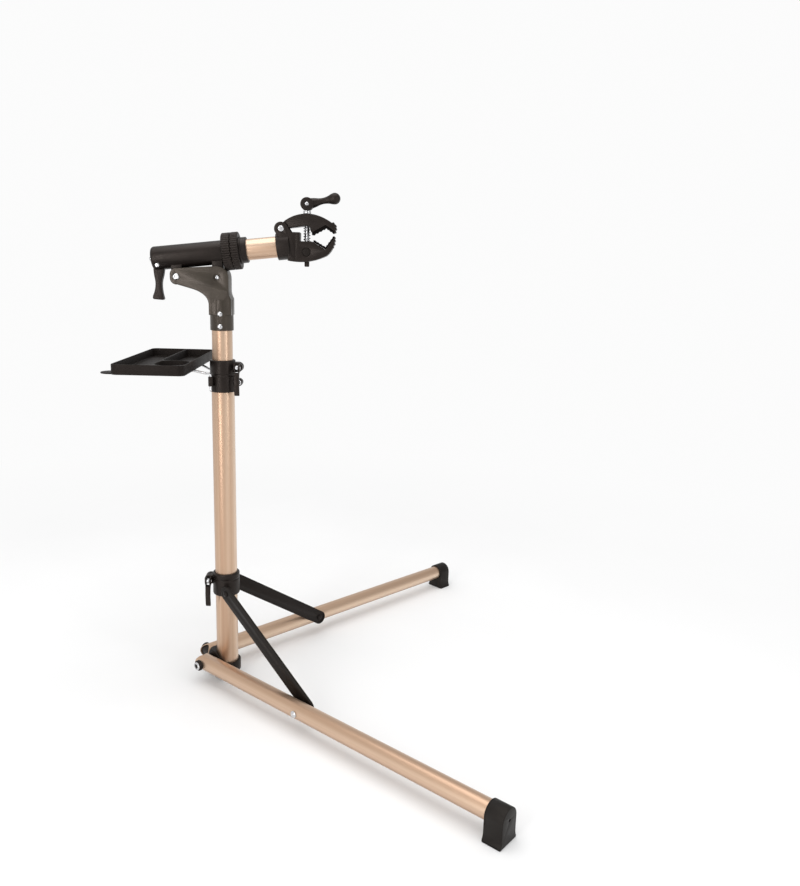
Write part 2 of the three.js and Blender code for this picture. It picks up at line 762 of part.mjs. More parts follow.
// ---- Clamp arm and jaws ----

const armStart = turnFace + 5.8;
const armTube = tube(arm.radius - arm.wall, arm.radius, armStart, arm.end, 28);
add("arm_tube", alongArm(armTube), "champagne");

// The grip: an upper and a lower V between a nib near the screw and the jaw tips.
const grip = {
  upper: [[176, 925.5], [202, 940], [218, 929.5]],
  lower: [[179, 915.5], [202, 902.5], [218, 924.5]],
};
const padDepth = 3.5;

const shifted = (points, rise) => points.map(([x, z]) => [x, z + rise]);

// Points along the V with small teeth standing out of it by `depth`.
function serrated(points, depth) {
  const result = [points[0]];
  for (const [index, [x1, z1]] of points.slice(1).entries()) {
    const [x0, z0] = points[index];
    const count = Math.round(Math.hypot(x1 - x0, z1 - z0) / 4.5);
    for (let i = 1; i <= count; i++) {
      const middle = (i - 0.5) / count;
      result.push([x0 + (x1 - x0) * middle, z0 + (z1 - z0) * middle + depth]);
      result.push([x0 + ((x1 - x0) * i) / count, z0 + ((z1 - z0) * i) / count]);
    }
  }
  return result;
}

function buildPad(points, rise) {
  const outer = shifted(points, rise).toReversed();
  const shape = outline([...serrated(points, rise > 0 ? 1 : -1), ...outer]);
  return slab(shape, -hinge.halfWidth + 1.5, hinge.halfWidth - 1.5);
}

function buildLowerJaw() {
  const { halfWidth, cheek, lug } = hinge;
  const seat = shifted(grip.lower, -padDepth - GAP);
  const shape = new THREE.Shape();
  shape.moveTo(130, 876);
  shape.quadraticCurveTo(168, 869, 204, 887);
  shape.quadraticCurveTo(217, 897, 219, 914);
  shape.lineTo(219.5, 920);
  for (const [x, z] of seat.toReversed()) shape.lineTo(x, z);
  shape.lineTo(177, 913);
  shape.lineTo(153, 913);
  shape.lineTo(153, 929.5);
  shape.lineTo(130, 929.5);
  const body = slab(shape, -halfWidth, halfWidth);
  const arms = slab(link(hinge.x, hinge.z, 138, 905, lug), -halfWidth, halfWidth);
  const tongue = halfWidth - cheek + GAP;
  const tongueRoom = slab(link(hinge.x, hinge.z, hinge.x + 60, hinge.z + 4, lug + 0.5), -tongue, tongue);
  const jawRoom = box(153.3, 240, -30, 30, 925.5, 960);
  const socket = alongArm(rod(25.5, 109, 134, 28));
  const bore = alongArm(rod(arm.radius + GAP, 50, arm.end + GAP, 28));
  const overSocket = slab(disc(hinge.x, hinge.z, lug + 0.5), -tongue, tongue);
  const pinBore = alongY(rod(4.5, -40, 40)).translate(hinge.x, 0, hinge.z);
  const screwBore = rod(screw.radius + 1, 850, 940, 20).translate(screw.x, 0, 0);
  const nutBore = alongY(rod(8 + GAP, -40, 40)).translate(screw.x, 0, screw.nut);
  const solid = join(body, cut(join(arms, socket), overSocket));
  const returnRoom = cut(tongueRoom, box(130, 160, -30, 30, 900, 929.5));
  return cut(solid, bore, returnRoom, jawRoom, pinBore, screwBore, nutBore);
}
add("lower_jaw", buildLowerJaw(), "blackPlastic");

function buildUpperJaw() {
  const { x, z, radius, halfWidth, cheek, lug } = hinge;
  const seat = shifted(grip.upper, padDepth + GAP);
  const shape = new THREE.Shape();
  shape.moveTo(x + 5, z - 9);
  shape.lineTo(131, z + 2);
  shape.lineTo(161, 941.5);
  shape.lineTo(171, 941.5);
  shape.lineTo(174, 931);
  for (const [px, pz] of seat) shape.lineTo(px, pz);
  shape.lineTo(220.5, 934);
  shape.quadraticCurveTo(223, 944, 212, 950);
  shape.quadraticCurveTo(190, 964.5, screw.x, 964.5);
  shape.quadraticCurveTo(138, 963, x + 1, z + radius - 1);
  const arch = slab(shape, -halfWidth + 1, halfWidth - 1);
  const knuckle = alongY(rod(radius, -halfWidth + 1, halfWidth - 1)).translate(x, 0, z);
  const cheekRoom = alongY(rod(lug + 2.5, -30, 30)).translate(x, 0, z);
  const tongue = box(x - 40, x + 40, -halfWidth + cheek, halfWidth - cheek, z - 40, z + 40);
  const slot = raised(link(screw.x - 1, 0, screw.x + 8, 0, screw.radius + 1.2), 900, 990);
  const pinBore = alongY(rod(4.5, -40, 40)).translate(x, 0, z);
  return cut(join(arch, knuckle), cut(cheekRoom, tongue), slot, pinBore);
}
add("upper_jaw", buildUpperJaw(), "blackPlastic");
add("upper_pad", buildPad(grip.upper, padDepth), "rubber");
add("lower_pad", buildPad(grip.lower, -padDepth), "rubber");

const hingePin = turned([
  [0, -hinge.halfWidth - 2.4],
  [4.4, -hinge.halfWidth - 2.2],
  [6.2, -hinge.halfWidth - GAP],
  [4.2, -hinge.halfWidth - GAP],
  [4.2, hinge.halfWidth + GAP],
  [6.2, hinge.halfWidth + GAP],
  [4.4, hinge.halfWidth + 2.2],
  [0, hinge.halfWidth + 2.4],
], 16);
add("hinge_pin", alongY(hingePin).translate(hinge.x, 0, hinge.z), "chrome");

// ---- Clamp screw ----

function buildScrew() {
  const shaft = turned([
    [0, screw.bottom],
    [screw.radius - 1, screw.bottom],
    [screw.radius, screw.bottom + 1],
    [screw.radius, screw.shoulder],
    [7.4, screw.shoulder],
    [7.4, screw.shoulder + 1.6],
    [4.8, screw.shoulder + 1.6],
    [4.8, screw.eye],
    [0, screw.eye],
  ], 16);
  const eye = alongY(rod(7, -4.8, 4.8)).translate(0, 0, screw.eye);
  const bore = alongY(rod(2.6, -20, 20)).translate(0, 0, screw.eye);
  return cut(join(shaft, eye), bore).translate(screw.x, 0, 0);
}
add("jaw_screw", buildScrew(), "chrome");

const washer = tube(screw.radius + GAP, 7.6, 965.2, screw.shoulder - GAP, 16);
add("thrust_washer", washer.translate(screw.x, 0, 0), "chrome");

const barrelNut = cut(
  alongY(rod(8, -hinge.halfWidth + 1, hinge.halfWidth - 1)).translate(0, 0, screw.nut),
  rod(screw.radius + GAP, 850, 940, 20),
);
add("screw_nut", barrelNut.translate(screw.x, 0, 0), "chrome");

// The opening spring round the screw, between the jaws.
function buildSpring() {
  const turns = 5;
  const [low, high] = [914.3, 940.2];
  const coil = 6.3;
  class Helix extends THREE.Curve {
    getPoint(t, target = new THREE.Vector3()) {
      const angle = 2 * Math.PI * turns * t;
      return target.set(coil * Math.cos(angle), coil * Math.sin(angle), low + (high - low) * t);
    }
  }
  const options = { steps: turns * 10, extrudePath: new Helix(), curveSegments: 2 };
  return new THREE.ExtrudeGeometry(disc(0, 0, 0.7), options).translate(screw.x, 0, 0);
}
add("jaw_spring", buildSpring(), "chrome");

// The crank: a forked hub on the screw's eye and a waisted grip that ends in a ball.
function buildCrank() {
  const { hub, ball, span, tilt } = handle;
  const hubDisc = alongY(rod(hub, -10.5, 10.5, 28));
  const profile = [[0, 4], [10.2, 4], [9.2, 13], [7.1, 21], [6, 31], [7.6, 42]];
  for (let i = 2; i <= 7; i++) {
    const angle = (i / 7) * Math.PI;
    profile.push([i === 7 ? 0 : ball * Math.sin(angle), span - ball * Math.cos(angle)]);
  }
  const grasp = alongX(turned(profile, 16));
  const slot = join(box(-20, 7.2, -5.2, 5.2, -20, 8.8), alongY(rod(8.4, -5.2, 5.2)));
  const bore = alongY(rod(2.6, -20, 20));
  return cut(join(hubDisc, grasp), slot, bore).rotateY(-tilt).translate(screw.x, 0, screw.eye);
}
add("crank_handle", buildCrank(), "blackPlastic");

const crankPin = turned([
  [0, -12],
  [2.4, -11.9],
  [3.8, -10.8],
  [2.3, -10.8],
  [2.3, 10.4],
  [0, 10.4],
], 16);
add("crank_pin", alongY(crankPin).translate(screw.x, 0, screw.eye), "chrome");

export default stand;
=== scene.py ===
"""A folding bicycle repair stand's visible surfaces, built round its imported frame.

Shapes are drawn in millimetres in the frame's own axes: Z up from the floor, the clamp arm
along +X. settle() turns each one into metres and puts it on the body of the node it stands for.
"""

import json
import math

import bmesh
import bpy
from mathutils import Matrix, Vector


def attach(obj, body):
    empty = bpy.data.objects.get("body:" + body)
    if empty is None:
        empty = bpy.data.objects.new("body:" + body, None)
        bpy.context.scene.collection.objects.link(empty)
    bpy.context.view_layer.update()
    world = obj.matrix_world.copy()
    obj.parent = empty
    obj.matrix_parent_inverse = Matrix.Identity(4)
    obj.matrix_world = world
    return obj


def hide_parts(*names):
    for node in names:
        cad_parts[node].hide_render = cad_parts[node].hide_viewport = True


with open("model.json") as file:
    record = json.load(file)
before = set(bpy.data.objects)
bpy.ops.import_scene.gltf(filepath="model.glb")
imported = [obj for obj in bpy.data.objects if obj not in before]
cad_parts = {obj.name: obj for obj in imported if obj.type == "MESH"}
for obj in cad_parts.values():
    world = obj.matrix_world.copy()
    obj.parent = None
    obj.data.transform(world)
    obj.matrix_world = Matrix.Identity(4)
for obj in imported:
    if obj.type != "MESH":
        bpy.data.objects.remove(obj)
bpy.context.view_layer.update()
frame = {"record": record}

# ---- Driving dimensions, the frame's own, in millimetres ----

GAP = 0.3
MAST = {"radius": 22.5, "wall": 1.5, "bottom": 12, "top": 651}
UPPER = {"radius": 20, "wall": 1.6, "bottom": 41, "top": 795}
LEG = {"radius": 17, "wall": 1.6, "length": 746, "back": 40, "side": 26, "height": 42, "bolt": 5}
LEG_ANGLE = math.radians(42)
STRUT = {"width": 31, "web": 2.4, "along": 285, "pin": 4}
FOLD_COLLAR = {"bottom": 190, "top": 237, "ear": 203, "radius": 27.5}
MAST_COLLAR = {"bottom": 618, "step": 651, "top": 681, "lower": 26, "upper": 25}
CLAMP = {"bolt": 3, "pin": 2.5, "lug": 11, "slit": 1.5, "pivot": -19.6}
FOLD_CLAMP = {"x": -34, "z": 222, "lever": 54}
MAST_CLAMP = {"x": 31, "z": 667, "lever": 55}
COLLAR_SCREW = {"x": 32, "z": 637, "radius": 3}
TRAY = {"near": -43, "far": -175, "half": 153, "floor": 666, "rim": 685, "wall": 2.6, "corner": 12}
HOOK = {"x": -19, "y": 28, "wire": 2.5, "bottom": 622}
ARM_TILT = math.radians(7)
ARM = {"height": 888, "barrel": 22.5, "start": -131, "end": 6, "ring": 35.5, "ring_end": 38}
ARM.update(collar_end=52, radius=20, wall=1.8, tip=118, rod=5)
TEETH = {"count": 24, "height": 2, "face": 22}
CAM = {"x": -117.5, "z": 860.5, "length": 66, "thickness": 14, "pin": 2.5}
HINGE = {"x": 117.2, "z": 935, "radius": 11, "lug": 13, "half": 20, "cheek": 5, "pin": 4.2}
SCREW = {"x": 165.5, "radius": 5, "bottom": 865.5, "cap": 9.6, "shoulder": 968.5, "eye": 982.6}
SCREW.update(nut=893, nut_radius=8)
CRANK = {"tilt": math.radians(12.8), "hub": 12.5, "ball": 10.8, "span": 54, "pin": 2.3}
SLEEVE = {"radius": 22.6, "bottom": 739, "top": 798}
RIVETS = {"upper": 771, "lower": 747}
RIVET_RADIUS = 3
HEAD_BOLTS = {
    "left": {"x": -82, "z": 840, "head": 6.2, "shank": 4, "boss": 12},
    "right": {"x": -4.5, "z": 840.5, "head": 4.2, "shank": 3, "boss": 12},
}
FORK = {"half": 21, "plate": 4}
ROUND = 96  # sides of a turned surface

MAST_ALONG = LEG["back"] * math.cos(LEG_ANGLE) - LEG["side"] * math.sin(LEG_ANGLE)
STRUT_TOP = (MAST_ALONG + 32, FOLD_COLLAR["ear"] - LEG["height"])
STRUT_FACE = LEG["radius"] + 0.8
STRUT_BACK = STRUT_FACE + 5

# ---- Outlines: lists of (a, b) points ----


def arc(x, y, radius, start, end, steps=24):
    """Points along an arc, its angles in units of pi."""
    angles = [math.pi * (start + (end - start) * i / steps) for i in range(steps + 1)]
    return [(x + radius * math.cos(a), y + radius * math.sin(a)) for a in angles]


def disc(x, y, radius, steps=64):
    return arc(x, y, radius, 0, 2, steps)[:-1]


def curve(start, control, end, steps=14):
    """A quadratic curve's points, without its start."""
    points = []
    for i in range(1, steps + 1):
        t = i / steps
        weights = ((1 - t) ** 2, 2 * t * (1 - t), t * t)
        points.append(tuple(
            sum(w * p[axis] for w, p in zip(weights, (start, control, end))) for axis in (0, 1)
        ))
    return points


def link(ax, ay, bx, by, radius):
    """Two half circles joined by straight sides."""
    turn = math.atan2(by - ay, bx - ax) / math.pi
    return arc(bx, by, radius, turn - 0.5, turn + 0.5) + arc(ax, ay, radius, turn + 0.5, turn + 1.5)


def rounded_box(x0, x1, y0, y1, radius):
    return (
        arc(x1 - radius, y0 + radius, radius, -0.5, 0, 10)
        + arc(x1 - radius, y1 - radius, radius, 0, 0.5, 10)
        + arc(x0 + radius, y1 - radius, radius, 0.5, 1, 10)
        + arc(x0 + radius, y0 + radius, radius, 1, 1.5, 10)
    )


def eased(points, radius, closed=True):
    """The same outline with each corner rounded."""
    result = []
    count = len(points)
    for i, point in enumerate(points):
        if not closed and i in (0, count - 1):
            result.append(point)
            continue
        corner = Vector(point)
        before = Vector(points[i - 1]) - corner
        after = Vector(points[(i + 1) % count]) - corner
        reach = min(radius, 0.45 * before.length, 0.45 * after.length)
        start = corner + before.normalized() * reach
        end = corner + after.normalized() * reach
        result.append(tuple(start))
        result += curve(tuple(start), point, tuple(end), 4)
    return result


def inset(points, distance):
    """A closed anticlockwise outline moved inwards."""
    result = []
    count = len(points)
    for i, point in enumerate(points):
        here = Vector(point)
        before = (here - Vector(points[i - 1])).normalized()
        after = (Vector(points[(i + 1) % count]) - here).normalized()
        normal = Vector((-before.y - after.y, before.x + after.x))
        if normal.length < 1e-6:
            normal = Vector((-before.y, before.x))
        normal.normalize()
        facing = max(0.5, normal.dot(Vector((-before.y, before.x))))
        result.append(tuple(here + normal * distance / facing))
    return result


def clean(points):
    """The outline anticlockwise, without points that repeat."""
    kept = [p for i, p in enumerate(points) if math.dist(p, points[i - 1]) > 1e-3]
    area = sum(a[0] * b[1] - b[0] * a[1] for a, b in zip(kept, kept[1:] + kept[:1]))
    return kept if area > 0 else kept[::-1]


# ---- Solids: mesh objects in millimetres ----


def solid(vertices, faces):
    mesh = bpy.data.meshes.new("solid")
    mesh.from_pydata(vertices, [], faces)
    shape = bmesh.new()
    shape.from_mesh(mesh)
    bmesh.ops.remove_doubles(shape, verts=shape.verts, dist=1e-4)
    bmesh.ops.recalc_face_normals(shape, faces=shape.faces)
    shape.to_mesh(mesh)
    shape.free()
    obj = bpy.data.objects.new("solid", mesh)
    bpy.context.scene.collection.objects.link(obj)
    return obj


def revolve(profile, sides=ROUND):
    """Turns (radius, height) corners about Z; they end on the axis or close on themselves."""
    vertices = []
    rings = []
    for radius, height in profile:
        first = len(vertices)
        if radius == 0:
            vertices.append((0, 0, height))
            rings.append([first] * sides)
            continue
        vertices += [(*p, height) for p in disc(0, 0, radius, sides)]
        rings.append(list(range(first, first + sides)))
    pairs = list(zip(rings, rings[1:]))
    if profile[0][0] != 0:
        pairs.append((rings[-1], rings[0]))
    faces = []
    for low, high in pairs:
        for i in range(sides):
            corners = (low[i], low[i - 1], high[i - 1], high[i])
            face = tuple(dict.fromkeys(corners))
            if len(face) > 2:
                faces.append(face)
    return solid(vertices, faces)


PLANES = {
    "xy": lambda a, b, level: (a, b, level),
    "xz": lambda a, b, level: (a, level, b),
    "yz": lambda a, b, level: (level, a, b),
}


def slab(points, low, high, edge=0.0, plane="xz"):
    """An outline extruded across its plane from low to high, its rims rounded by `edge`."""
    points = clean(points)
    layers = [(0, low), (0, high)]
    if edge:
        turns = [math.radians(a) for a in (0, 30, 60, 90)]
        rim = [(edge * (1 - math.sin(a)), edge * (1 - math.cos(a))) for a in turns]
        layers = [(side, low + rise) for side, rise in rim]
        layers += [(side, high - rise) for side, rise in rim[::-1]]
    place = PLANES[plane]
    count = len(points)
    vertices = []
    for side, level in layers:
        vertices += [place(a, b, level) for a, b in (inset(points, side) if side else points)]
    faces = [tuple(range(count)), tuple(range(len(vertices) - count, len(vertices)))]
    for layer in range(len(layers) - 1):
        base = layer * count
        for i in range(count):
            j = (i + 1) % count
            faces.append((base + i, base + j, base + count + j, base + count + i))
    return solid(vertices, faces)


def sweep(path, radius, sides=20):
    """A round wire along a path, with domed ends."""
    points = [Vector(p) for p in path]
    first = (points[1] - points[0]).normalized()
    last = (points[-1] - points[-2]).normalized()
    stations = [(points[0] - first * radius * 0.5, 0.5, first), (points[0], 1, first)]
    for before, here, after in zip(points, points[1:], points[2:]):
        stations.append((here, 1, (after - before).normalized()))
    stations += [(points[-1], 1, last), (points[-1] + last * radius * 0.5, 0.5, last)]
    side = first.orthogonal().normalized()
    vertices = []
    for centre, scale, forward in stations:
        side = (side - forward * side.dot(forward)).normalized()
        up = forward.cross(side)
        for a, b in disc(0, 0, radius * scale, sides):
            vertices.append(tuple(centre + side * a + up * b))
    count = len(stations)
    faces = [tuple(range(sides)), tuple(range((count - 1) * sides, count * sides))]
    for ring in range(count - 1):
        base = ring * sides
        for i in range(sides):
            j = (i + 1) % sides
            faces.append((base + i, base + j, base + sides + j, base + sides + i))
    return solid(vertices, faces)


def lathe(profile, ease, sides=ROUND):
    """revolve() with the corners rounded, for a profile that starts on the axis or closes."""
    return revolve(eased(profile, ease, closed=profile[0][0] != 0), sides)


def rod(radius, low, high, edge=0.0, sides=ROUND):
    profile = [(0, low), (radius, low), (radius, high), (0, high)]
    return lathe(profile, edge, sides) if edge else revolve(profile, sides)


def tube(inner, outer, low, high, edge=0.25, sides=ROUND):
    return lathe([(inner, low), (outer, low), (outer, high), (inner, high)], edge, sides)


def block(x0, x1, y0, y1, z0, z1, edge=0.0):
    return slab([(x0, y0), (x1, y0), (x1, y1), (x0, y1)], z0, z1, edge, "xy")


def moved(obj, matrix):
    obj.data.transform(matrix)
    if matrix.determinant() < 0:
        obj.data.flip_normals()
    return obj


def shifted(obj, x, y, z):
    return moved(obj, Matrix.Translation((x, y, z)))


def copied(obj):
    twin = obj.copy()
    twin.data = obj.data.copy()
    bpy.context.scene.collection.objects.link(twin)
    return twin


MIRROR = Matrix.Diagonal((1, -1, 1, 1))
ALONG_X = Matrix.Rotation(math.pi / 2, 4, "Y")
ALONG_Y = Matrix.Rotation(-math.pi / 2, 4, "X")
ALONG_ARM = Matrix.Translation((0, 0, ARM["height"])) @ Matrix.Rotation(
    math.pi / 2 - ARM_TILT, 4, "Y"
)
ON_LEG = Matrix.Translation((-LEG["back"], -LEG["side"], LEG["height"])) @ Matrix.Rotation(
    -LEG_ANGLE, 4, "Z"
)


def mirrored(obj):
    return moved(copied(obj), MIRROR)


def pin(radius, low, high, x=0, z=0, edge=0.0, sides=48):
    """A rod along Y through (x, z)."""
    return shifted(moved(rod(radius, low, high, edge, sides), ALONG_Y), x, 0, z)


def turned(profile, ease, x=0, z=0, sides=64):
    """A pin, rivet or bolt turned about an axis along Y through (x, z)."""
    return shifted(moved(lathe(profile, ease, sides), ALONG_Y), x, 0, z)


def combine(first, others, operation):
    for other in others:
        modifier = first.modifiers.new("combine", "BOOLEAN")
        modifier.operation = operation
        modifier.solver = "EXACT"
        modifier.object = other
    apply_modifiers(first)
    for other in others:
        bpy.data.objects.remove(other)
    return first


def join(first, *others):
    return combine(first, others, "UNION")


def cut(first, *tools):
    return combine(first, tools, "DIFFERENCE")


def common(first, second):
    return combine(first, [second], "INTERSECT")


def apply_modifiers(obj):
    bpy.context.view_layer.update()
    depsgraph = bpy.context.evaluated_depsgraph_get()
    mesh = bpy.data.meshes.new_from_object(obj.evaluated_get(depsgraph))
    obj.modifiers.clear()
    obj.data = mesh


# ---- Materials ----


def new_material(name):
    material = bpy.data.materials.new(name)
    material.use_nodes = True
    nodes = material.node_tree.nodes
    return material, nodes, material.node_tree.links, nodes["Principled BSDF"]


def noise(nodes, links, scale, detail, stretch=(1, 1, 1), turn=(0, 0, 0)):
    """A noise texture in the piece's own coordinates, stretched along its turned axes."""
    coordinates = nodes.new("ShaderNodeTexCoord")
    mapping = nodes.new("ShaderNodeMapping")
    mapping.vector_type = "TEXTURE"
    mapping.inputs["Rotation"].default_value = turn
    mapping.inputs["Scale"].default_value = stretch
    texture = nodes.new("ShaderNodeTexNoise")
    texture.inputs["Scale"].default_value = scale
    texture.inputs["Detail"].default_value = detail
    links.new(coordinates.outputs["Object"], mapping.inputs["Vector"])
    links.new(mapping.outputs["Vector"], texture.inputs["Vector"])
    return texture.outputs["Fac"]


def ramp(nodes, links, factor, stops):
    node = nodes.new("ShaderNodeValToRGB")
    elements = node.color_ramp.elements
    elements[0].position, elements[0].color = stops[0][0], (*stops[0][1], 1)
    elements[1].position, elements[1].color = stops[-1][0], (*stops[-1][1], 1)
    for position, color in stops[1:-1]:
        elements.new(position).color = (*color, 1)
    links.new(factor, node.inputs["Fac"])
    return node.outputs["Color"]


def spread(nodes, links, factor, low, high, start=0.3, end=0.7, ease="LINEAR"):
    """Maps a value's range from start to end onto low to high."""
    node = nodes.new("ShaderNodeMapRange")
    node.interpolation_type = ease
    for name, value in (("From Min", start), ("From Max", end), ("To Min", low), ("To Max", high)):
        node.inputs[name].default_value = value
    links.new(factor, node.inputs["Value"])
    return node.outputs["Result"]


def bump(nodes, links, height, distance, strength=1.0):
    node = nodes.new("ShaderNodeBump")
    node.inputs["Distance"].default_value = distance
    node.inputs["Strength"].default_value = strength
    links.new(height, node.inputs["Height"])
    return node.outputs["Normal"]


def anodised(name, turn):
    """Satin champagne aluminium, drawn lengthwise: its streaks follow the turned Z axis."""
    material, nodes, links, shader = new_material(name)
    bands = noise(nodes, links, 60, 2, (1, 1, 400), turn)
    streaks = noise(nodes, links, 420, 2, (1, 1, 160), turn)
    color = ramp(nodes, links, bands, [
        (0.30, (0.44, 0.275, 0.18)),
        (0.45, (0.54, 0.365, 0.25)),
        (0.58, (0.64, 0.46, 0.33)),
        (0.72, (0.74, 0.57, 0.43)),
    ])
    links.new(color, shader.inputs["Base Color"])
    links.new(spread(nodes, links, streaks, 0.3, 0.44), shader.inputs["Roughness"])
    links.new(bump(nodes, links, streaks, 0.00002, 0.4), shader.inputs["Normal"])
    shader.inputs["Metallic"].default_value = 0.85
    shader.inputs["Coat Weight"].default_value = 0.35
    shader.inputs["Coat Roughness"].default_value = 0.28
    return material


def moulded(name, dark, light, rough, grain, depth, gloss=0.5):
    """A black moulded or coated surface: cloudy tone, fine grain, a little uneven gloss."""
    material, nodes, links, shader = new_material(name)
    clouds = noise(nodes, links, 30, 5)
    fine = noise(nodes, links, grain, 3)
    links.new(ramp(nodes, links, clouds, [(0.3, dark), (0.7, light)]), shader.inputs["Base Color"])
    links.new(spread(nodes, links, clouds, rough - 0.06, rough + 0.06), shader.inputs["Roughness"])
    links.new(bump(nodes, links, fine, depth), shader.inputs["Normal"])
    shader.inputs["Specular IOR Level"].default_value = gloss
    shader.inputs["Specular Tint"].default_value = (1, 0.86, 0.78, 1)
    return material


def plated(name):
    """Bright chrome with a faint haze and hairline scratches."""
    material, nodes, links, shader = new_material(name)
    haze = noise(nodes, links, 160, 5)
    hairs = noise(nodes, links, 900, 2, (1, 1, 8))
    color = ramp(nodes, links, haze, [(0.3, (0.5, 0.5, 0.51)), (0.65, (0.7, 0.7, 0.71))])
    links.new(color, shader.inputs["Base Color"])
    links.new(spread(nodes, links, haze, 0.16, 0.3), shader.inputs["Roughness"])
    links.new(bump(nodes, links, hairs, 0.00001, 0.4), shader.inputs["Normal"])
    shader.inputs["Metallic"].default_value = 1
    return material


LEG_TURNS = {"front": (0, math.pi / 2, -LEG_ANGLE), "rear": (0, math.pi / 2, LEG_ANGLE)}
FINISHES = {
    "mast": (anodised("anodised_mast", (0, 0, 0)), "champagne_aluminium"),
    "arm": (anodised("anodised_arm", (0, math.pi / 2 - ARM_TILT, 0)), "champagne_aluminium"),
    "leg_front": (anodised("anodised_leg_front", LEG_TURNS["front"]), "champagne_aluminium"),
    "leg_rear": (anodised("anodised_leg_rear", LEG_TURNS["rear"]), "champagne_aluminium"),
    "steel": (
        moulded("powder_coat", (0.0045, 0.0036, 0.0032), (0.009, 0.0072, 0.0064), 0.4, 1500, 0.00005, 0.2),
        "black_steel",
    ),
    "bracket": (
        moulded("bracket_coat", (0.019, 0.0155, 0.0112), (0.036, 0.030, 0.022), 0.32, 1500, 0.00004),
        "black_steel",
    ),
    "plastic": (
        moulded(
            "moulded_plastic", (0.005, 0.0036, 0.0032), (0.011, 0.008, 0.007), 0.38, 2400, 0.00004, 0.28
        ),
        "black_plastic",
    ),
    "tray": (
        moulded("tray_plastic", (0.006, 0.0046, 0.0042), (0.014, 0.011, 0.010), 0.54, 1800, 0.00008, 0.15),
        "black_plastic",
    ),
    "rubber": (
        moulded("boot_rubber", (0.003, 0.0029, 0.0028), (0.008, 0.0076, 0.0072), 0.5, 1300, 0.00012, 0.25),
        "black_rubber",
    ),
    "pad": (
        moulded("pad_rubber", (0.004, 0.0032, 0.003), (0.010, 0.0082, 0.0076), 0.85, 1300, 0.0001, 0.02),
        "black_rubber",
    ),
    "chrome": (plated("bright_chrome"), "chromed_steel"),
}

BODY_OF = {
    node: body
    for body, nodes in frame["record"]["behaviour"]["bodies"].items()
    for node in nodes
}


def settle(node, obj, finish, bevel=0.0, smooth=32, body=None):
    """Softens the piece's edges and puts it in its CAD node's place, or on a body as an extra."""
    if bevel:
        modifier = obj.modifiers.new("edges", "BEVEL")
        modifier.width = bevel
        modifier.segments = 2
        modifier.limit_method = "ANGLE"
        modifier.angle_limit = math.radians(40)
        modifier.use_clamp_overlap = False
        apply_modifiers(obj)
    obj.data.transform(Matrix.Scale(0.001, 4))
    shape = bmesh.new()
    shape.from_mesh(obj.data)
    bmesh.ops.remove_doubles(shape, verts=shape.verts, dist=2e-6)
    bmesh.ops.recalc_face_normals(shape, faces=shape.faces)
    # Faces that agree but all face inwards enclose a negative volume.
    if shape.calc_volume(signed=True) < 0:
        bmesh.ops.reverse_faces(shape, faces=shape.faces)
    shape.to_mesh(obj.data)
    shape.free()
    obj.data.shade_smooth()
    obj.data.set_sharp_from_angle(angle=math.radians(smooth))
    material, slot = FINISHES[finish]
    obj.data.materials.clear()
    obj.data.materials.append(material)
    obj.name = "fine_" + node
    obj.data.name = obj.name
    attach(obj, body or BODY_OF[node])
    if not body:
        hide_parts(node)
    return obj


def settle_pair(name, obj, finish, **options):
    """Settles a piece drawn in the front leg's frame, and its mirror image."""
    moved(obj, ON_LEG)
    twin = mirrored(obj)
    for side, piece in (("front", obj), ("rear", twin)):
        own = f"{finish}_{side}" if finish == "leg" else finish
        settle(f"{name}_{side}", piece, own, **options)


# ---- Mast foot ----

bore = MAST["radius"] - MAST["wall"]
settle("lower_mast_tube", tube(bore, MAST["radius"], MAST["bottom"], MAST["top"], 0.4), "mast")

plug = bore - GAP
low = MAST["bottom"]
settle("base_cap", lathe([
    (0, 0),
    (18.5, 0),
    (MAST["radius"] - 1, 0.8),
    (MAST["radius"] + 1, 3),
    (MAST["radius"] + 1, low - GAP),
    (plug, low - GAP),
    (plug, low + 24),
    (plug - 3, low + 24),
    (plug - 3, low + 2),
    (0, low + 2),
], 0.8), "rubber")

plate_face = LEG["radius"] + 0.6
plate_back = plate_face + 4.4


def base_bracket():
    band = tube(MAST["radius"] + GAP, MAST["radius"] + 5.2, 16, 38, 1)
    low, high = 16 - LEG["height"], 38 - LEG["height"]
    side = [(-15, -16), (2, low), (32, low), (32, high), (9, 19), (-9, 19), (-15, 12)]
    plate = moved(slab(eased(side, 3), plate_face, plate_back, 0.8), ON_LEG)
    web = [(-36, -3.2), (-21, -16.5), (-21, 16.5), (-36, 3.2)]
    web = slab(web, LEG["height"] - 16, LEG["height"] + 19, 0.6, "xy")
    hole = moved(pin(LEG["bolt"] + GAP, 0, 40), ON_LEG)
    room = rod(MAST["radius"] + GAP, 0, 90)
    return cut(join(band, plate, mirrored(plate), web), room, mirrored(hole), hole)


settle("base_bracket", base_bracket(), "steel")

# ---- Legs ----


def leg_tube():
    radius, length = LEG["radius"], LEG["length"]
    pipe = moved(tube(radius - LEG["wall"], radius, -radius, length, 0.4), ALONG_X)
    rounded = slab(link(0, 0, length + radius, 0, radius + 0.01), -20, 20)
    pivot = pin(LEG["bolt"] + GAP, -20, 20)
    hole = pin(STRUT["pin"] + GAP, -20, 20, STRUT["along"])
    return cut(common(pipe, rounded), pivot, hole)


settle_pair("leg_tube", leg_tube(), "leg")


def leg_plug():
    radius = LEG["radius"] - LEG["wall"] - GAP
    core = moved(rod(radius, -radius, 22), ALONG_X)
    return cut(common(core, slab(link(0, 0, 40, 0, radius - 0.5), -20, 20)), pin(5.3, -20, 20))


settle_pair("leg_plug", leg_plug(), "plastic")

